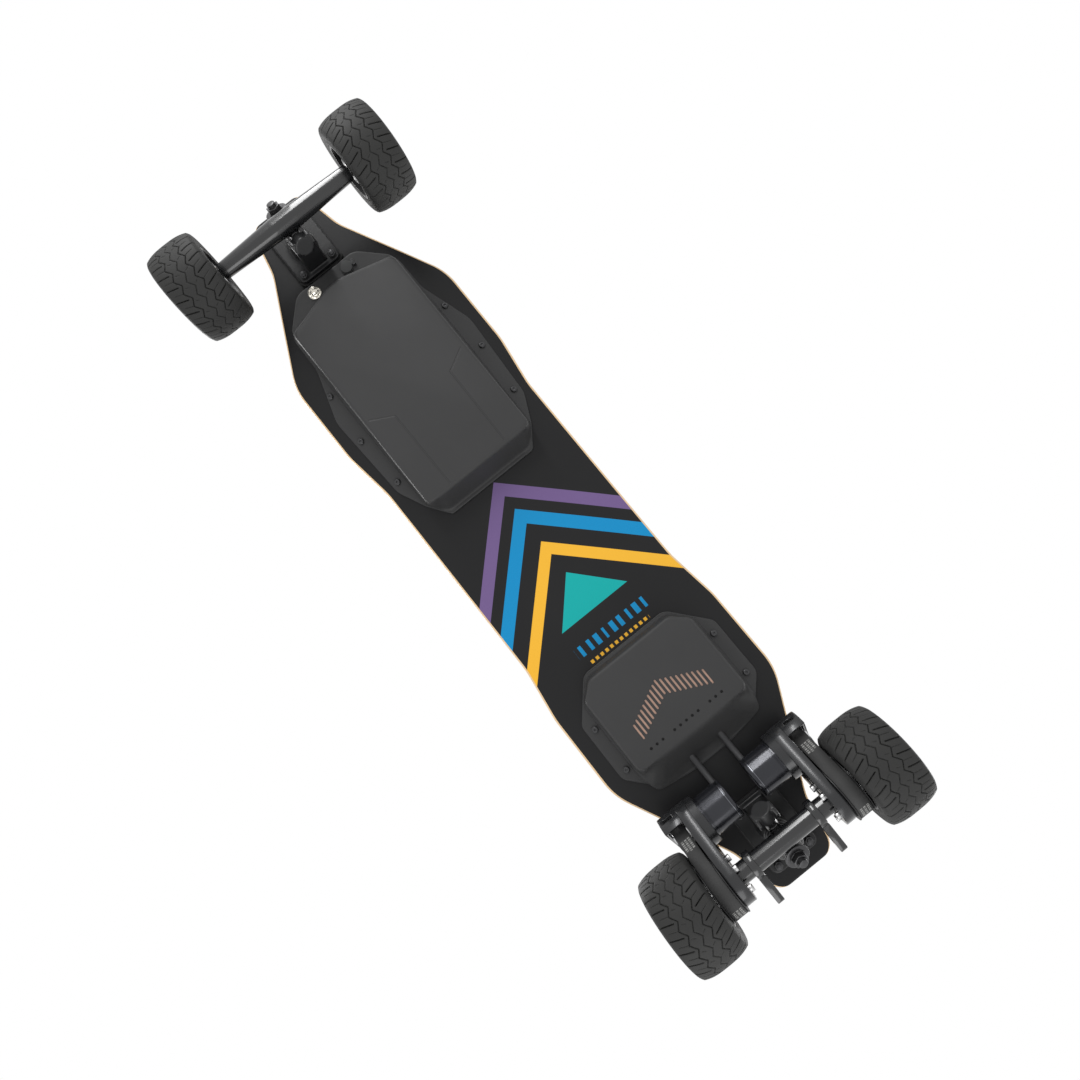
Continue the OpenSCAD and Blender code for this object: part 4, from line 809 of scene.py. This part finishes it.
def bushing(name, rear, z0, z1, node):
    """One urethane bushing with a waist."""
    h = z1 - z0
    profile = [(5.4, 0), (11.6, 0), (12.4, 0.8), (12.5, 1.6), (12.1, h * 0.3), (11.9, h / 2), (12.1, h * 0.7),
               (12.5, h - 1.6), (12.4, h - 0.8), (11.6, h), (5.4, h)]
    verts, faces = revolve(profile, 72)
    ring = Matrix.Translation((RING[0], 0, RING[1])) @ Matrix.Rotation(math.pi - STEER, 4, "Y")
    m = truck_matrix(rear) @ ring
    verts = moved([(x, y, z + z0) for x, y, z in verts], m)
    o = add(name, verts, faces, "bushing", body=None, angle=40.0)
    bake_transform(o)
    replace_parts(o, node)


for rear, node in ((False, "front_bushings"), (True, "rear_bushings")):
    bushing(node + "_board", rear, -17.0, -4.3, node)
    bushing(node + "_road", rear, 4.3, 17.9, node)


# ---------------------------------------------------------------- wheels
def tyre_mesh():
    """All-terrain tyre about the Y axis: zigzag grooves in the middle and cut blocks on the shoulders."""
    count, pitches, pitch = 690, 23, 15.0  # points round, blocks round, and a block's length
    swing, half = 2.4, 26.0  # the zigzag's reach to each side, and half the tread's width
    theta = np.arange(count) * math.tau / count
    side = [(33.05, 28.0), (35.0, 28.6), (37.0, 28.7), (38.0, 28.2), (40.0, 28.3), (43.0, 28.9), (46.0, 28.7),
            (48.5, 28.0), (50.2, 27.0)]
    tread_v = np.linspace(-half, half, 74)
    tread_r = 55.0 - 3.6 * np.abs(tread_v / half) ** 3
    profile = [(r, -v) for r, v in side] + list(zip(tread_r, tread_v)) + [(r, v) for r, v in reversed(side)]
    r = np.array([p[0] for p in profile])
    v = np.array([p[1] for p in profile])
    u = (theta * pitches / math.tau)[:, None]
    vv = v[None, :]

    def tri(t):
        return 4 * np.abs((t % 1.0) - 0.5) - 1

    def gap(dist, reach, soft=0.35):
        return np.clip((reach - dist) / soft + 0.5, 0, 1)

    deep = 1.2 * gap(np.abs(vv - swing * tri(u)), 0.32)
    for sign in (-1, 1):
        out = vv * sign
        deep = np.maximum(deep, 1.4 * gap(np.abs(out - 11.0 - swing * tri(u + 0.5)), 0.4))
        bar = np.abs((u + 0.022 * out + 0.25) % 1.0 - 0.5) * pitch
        outer = np.clip((out - 12.5) / 0.8, 0, 1)
        deep = np.maximum(deep, 1.8 * gap(bar, 0.5) * outer)
        sipe = np.abs((u + 0.022 * out + 0.75) % 1.0 - 0.5) * pitch
        deep = np.maximum(deep, 0.8 * gap(sipe, 0.2) * outer * np.clip((23.5 - out) / 0.8, 0, 1))
        inner = np.clip((out - 3.6) / 0.5, 0, 1) * np.clip((8.6 - out) / 0.5, 0, 1)
        sipe = np.abs((u + 0.03 * out) % 1.0 - 0.5) * pitch
        deep = np.maximum(deep, 0.8 * gap(sipe, 0.2) * inner)
    fade = np.clip((r - 46.5) / 2.5, 0, 1)[None, :]
    rr = r[None, :] - deep * fade * np.where(np.abs(vv) > half, 0.75, 1.0)
    rings = np.stack([rr * np.cos(theta)[:, None], np.repeat(vv, count, 0), rr * np.sin(theta)[:, None]],
                     axis=2)
    verts, faces = stack([list(map(tuple, ring)) for ring in rings], loop=True)
    o = add("tyre_master", verts, faces, "tyre", body=None, angle=48.0)
    mesh = o.data
    bpy.data.objects.remove(o)
    return mesh


tread = tyre_mesh()
WHEELS = (("front_left", 1), ("front_right", -1), ("rear_left", 1), ("rear_right", -1))
for i, (name, side) in enumerate(WHEELS):
    low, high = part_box("tyre_" + name)
    o = bpy.data.objects.new("tread_" + name, tread)
    bpy.context.scene.collection.objects.link(o)
    spin = Matrix.Rotation(math.radians(3 + 5 * i), 4, "Y")  # no two treads stand alike
    flip = Matrix.Rotation(0 if side > 0 else math.pi, 4, "Z")
    o.matrix_world = Matrix.Translation((low + high) / 2) @ flip @ spin
    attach(o, "wheel_" + name)
    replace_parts(o, "tyre_" + name)
    dress("hub_" + name, "hub", bevel=0.7)
    dress("bearings_" + name, "bearing", bevel=0)

# ---------------------------------------------------------------- belt drive
def loop(r0, c, r1, count):
    """Points and outward directions, evenly spaced along a belt round two pulleys."""
    along = math.atan2(c[1], c[0])
    side = math.acos((r0 - r1) / math.hypot(*c))
    pieces, total = [], 0.0
    straight = math.hypot(*c) * math.sin(side)
    for kind, r, start, sweep in (("arc", r0, along + side, math.tau - 2 * side), ("line", 0, along - side, 0),
                                  ("arc", r1, along - side, 2 * side), ("line", 1, along + side, 0)):
        size = r * sweep if kind == "arc" else straight
        pieces.append((kind, r, start, sweep, total, size))
        total += size
    points, outs = [], []
    for k in range(count):
        s = total * k / count
        for kind, r, start, sweep, at, size in pieces:
            if s <= at + size:
                break
        t = (s - at) / size
        if kind == "arc":
            a = start + sweep * t
            centre = np.array([0.0, 0.0]) if at == 0 else np.array(c, float)
            out = np.array([math.cos(a), math.sin(a)])
            points.append(centre + r * out)
        else:
            a = start
            out = np.array([math.cos(a), math.sin(a)])
            ends = (r0 * out, np.array(c) + r1 * out)
            p, q = ends if r == 0 else ends[::-1]
            points.append(p + (q - p) * t)
        outs.append(out)
    return np.array(points), np.array(outs)


def drive_matrix(left):
    """Frame of one side of the drive: Y runs outboard."""
    m = truck_matrix(True)
    return m @ Matrix.Diagonal((1, -1, 1, 1)) if left else m


def belt(name, left):
    per = 14
    count = BELT_TEETH * per
    c = (MOTOR[0], MOTOR[1] + DROP)
    points, outs = loop(R_WHEEL, c, R_MOTOR, count)
    phase = (np.arange(count) % per) / per * PITCH - 1.5
    tooth = 1.85 * np.sqrt(np.clip(1 - (phase / 1.5) ** 2, 0, 1))
    inner = points - outs * (0.45 + tooth)[:, None]
    outer = points + outs * 1.13
    rings = []
    for y, a in ((0, 0.25), (0.25, 0), (BELT_W - 0.25, 0), (BELT_W, 0.25)):
        rings.append([(p[0], BELT_Y + y, p[1] - DROP) for p in outer - outs * a])
    for y, a in ((BELT_W, 0.2), (BELT_W - 0.2, 0), (0.2, 0), (0, 0.2)):
        rings.append([(p[0], BELT_Y + y, p[1] - DROP) for p in inner + outs * a])
    m = drive_matrix(left)
    verts, faces = stack([moved(r, m) for r in rings], loop=True)
    o = add("belt_band_" + name, verts, faces, "belt", "rear_hanger", 50.0)
    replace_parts(o, "belt_" + name)
    # plain printed blocks along the outside
    verts, faces = [], []
    skin = points + outs * 1.16
    for low, marks in ((2.2, (4, 5, 3, 5, 4, 6)), (6.1, (5, 3, 5, 4, 3, 4, 3)), (10.0, (3, 5, 4, 4, 6, 3))):
        for patch in range(3):
            k = 108 + patch * count // 3
            high = low + 2.7
            for length in marks:
                at = len(verts)
                for i in range(k, k + length):
                    for y in (low, high):
                        verts.append((skin[i][0], BELT_Y + y, skin[i][1] - DROP))
                faces += [(at + 2 * i, at + 2 * i + 1, at + 2 * i + 3, at + 2 * i + 2)
                          for i in range(length - 1)]
                k += length + 2
    flip = faces if left else [f[::-1] for f in faces]
    add("belt_marks_" + name, moved(verts, m), flip, "belt_print", "rear_hanger", 60.0,
        fix=False)


def motor(name, left):
    """Motor can along Y: ribbed shell, bright ring and a spoked bell at the inboard end."""
    start, end, seam = 14.5, 55.8, 0.4  # the can's ends along the drive's Y, and its gap to the mount
    m = (drive_matrix(left) @ Matrix.Translation((MOTOR[0], start, MOTOR[1]))
         @ Matrix.Rotation(-math.pi / 2, 4, "X"))
    length = end - start - seam
    shell = [(6.2, 2.2), (19.4, 2.2), (19.8, 0.3), (20.4, 0.0), (21.4, 0.5), (22.0, 1.4), (22.0, 3.6),
             (21.5, 3.9), (21.5, 4.9), (22.0, 5.2), (22.0, 30.0), (21.5, 30.3), (21.5, 31.3), (22.0, 31.6),
             (22.0, length), (6.2, length)]
    verts, faces = revolve(shell, 128)
    body = add("motor_can_" + name, moved(verts, m), faces, "motor", "rear_hanger", 38.0)
    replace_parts(body, "motor_" + name)
    ring = [(21.3, 4.0), (21.75, 4.05), (21.75, 4.75), (21.3, 4.8)]
    verts, faces = revolve(ring, 128)
    add("motor_band_" + name, moved(verts, m), faces, "motor_ring", "rear_hanger", 30.0)
    hub = [(0.6, 0.5), (5.2, 0.5), (6.0, 1.1), (6.4, 2.6), (0.6, 2.6)]
    verts, faces = revolve(hub, 48)
    verts = list(verts)
    for k in range(8):
        turn = Matrix.Rotation(math.tau * k / 8, 4, "Z")
        a, b = boxes([(12.6, 0, 1.5)], (14.0, 2.6, 1.7))
        at = len(verts)
        verts += [tuple(turn @ Vector(p)) for p in a]
        faces += [tuple(at + i for i in f) for f in b]
    bell = add("motor_bell_" + name, moved(verts, m), faces, "motor_end", "rear_hanger", 30.0)
    mod = bell.modifiers.new("edges", "BEVEL")
    mod.width = 0.35 * MM
    mod.segments = 2
    mod.limit_method = "ANGLE"
    applied(bell)
    smooth(bell.data, 30.0)


def tube(points, radius, sides=20):
    """Round tube along a line of points."""
    p = np.array(points, float)
    rings = []
    for i in range(len(p)):
        d = p[min(i + 1, len(p) - 1)] - p[max(i - 1, 0)]
        d /= np.linalg.norm(d)
        u = np.array([0.0, 1.0, 0.0])
        v = np.cross(d, u)
        rings.append([p[i] + radius * (math.cos(t) * u + math.sin(t) * v)
                      for t in np.linspace(0, math.tau, sides, endpoint=False)])
    return stack(rings)


LEAD_Y, LEAD_R = 20.0, 3.4


def lead(name, side):
    """Sleeved motor lead."""
    knots = np.array([(-126, 0, -10), (-116, 0, -10), (-106, 0, -10), (-97, 0, -10), (-89, 0, -11),
                      (-82, 0, -13), (-76, 0, -16), (-71.5, 0, -19.5), (-67.9, 0, -24.3)], float)
    run = np.concatenate([[0], np.cumsum(np.linalg.norm(np.diff(knots, axis=0), axis=1))])
    s = np.linspace(0, run[-1], 60)
    path = np.c_[np.interp(s, run, knots[:, 0]), np.full(60, side * LEAD_Y), np.interp(s, run, knots[:, 2])]
    for _ in range(12):
        path[1:-1] = (path[:-2] + 2 * path[1:-1] + path[2:]) / 4
    verts, faces = tube(path, LEAD_R)
    m = truck_matrix(True)
    o = add(name, moved(verts, m), faces, "lead", body=None, angle=40.0)
    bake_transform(o)
    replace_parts(o, "motor_leads")


for name, left in (("left", True), ("right", False)):
    belt(name, left)
    motor(name, left)
    lead("lead_" + name, -1 if left else 1)
    dress("wheel_pulley_" + name, "pulley", bevel=0)
    dress("motor_pulley_" + name, "alloy", bevel=0)
    dress("motor_shaft_" + name, "bearing", bevel=0.3)
    dress("motor_mount_" + name, "mount", bevel=0.8)
    dress("belt_cover_" + name, "mount", bevel=0.5)
dress("mount_screws", "steel", bevel=0.3)

# ---------------------------------------------------------------- studio
scene = bpy.context.scene
bpy.ops.mesh.primitive_circle_add(vertices=96, radius=12, fill_type="NGON", location=(0, 0, 0))
floor = bpy.context.object
floor.name = "studio_floor"
floor.data.materials.append(floor_surface())
floor.visible_shadow = False
floor.visible_diffuse = False
floor.visible_glossy = False
floor.visible_transmission = False

world = scene.world or bpy.data.worlds.new("studio")
scene.world = world
world.use_nodes = True
sky = world.node_tree.nodes["Background"]
sky.inputs["Color"].default_value = (1.0, 1.0, 1.0, 1)
sky.inputs["Strength"].default_value = 1.0


def lamp(name, at, to, size, power):
    light = bpy.data.lights.new(name, "AREA")
    light.shape = "RECTANGLE"
    light.size, light.size_y = size
    light.energy = power
    o = bpy.data.objects.new(name, light)
    o.location = at
    o.rotation_euler = (Vector(to) - Vector(at)).to_track_quat("-Z", "Y").to_euler()
    scene.collection.objects.link(o)
    o.visible_camera = False


lamp("key_above", (0.9, -1.4, 2.0), (0, 0, 0.1), (1.6, 1.2), 40)
lamp("fill_above", (-1.6, 1.2, 1.6), (0, 0, 0.1), (1.6, 1.2), 18)
lamp("key_below", (1.5, 0.2, -0.7), (0.2, 0, 0.1), (0.22, 1.6), 17)
lamp("fill_below", (-1.5, -0.6, -0.8), (0, 0, 0.1), (1.0, 1.2), 10)

camera = bpy.data.objects.new("camera", bpy.data.cameras.new("camera"))
scene.collection.objects.link(camera)
scene.camera = camera
camera.data.sensor_width = 36.0
camera.data.lens = 26.88
camera.data.clip_start = 0.01
# under the board and looking up at it, as in the photograph
camera.location = (-0.12932, -0.01675, -0.77976)
camera.rotation_euler = [math.radians(a) for a in (-174.309, -3.26, 128.722)]

scene.view_settings.view_transform = "Standard"
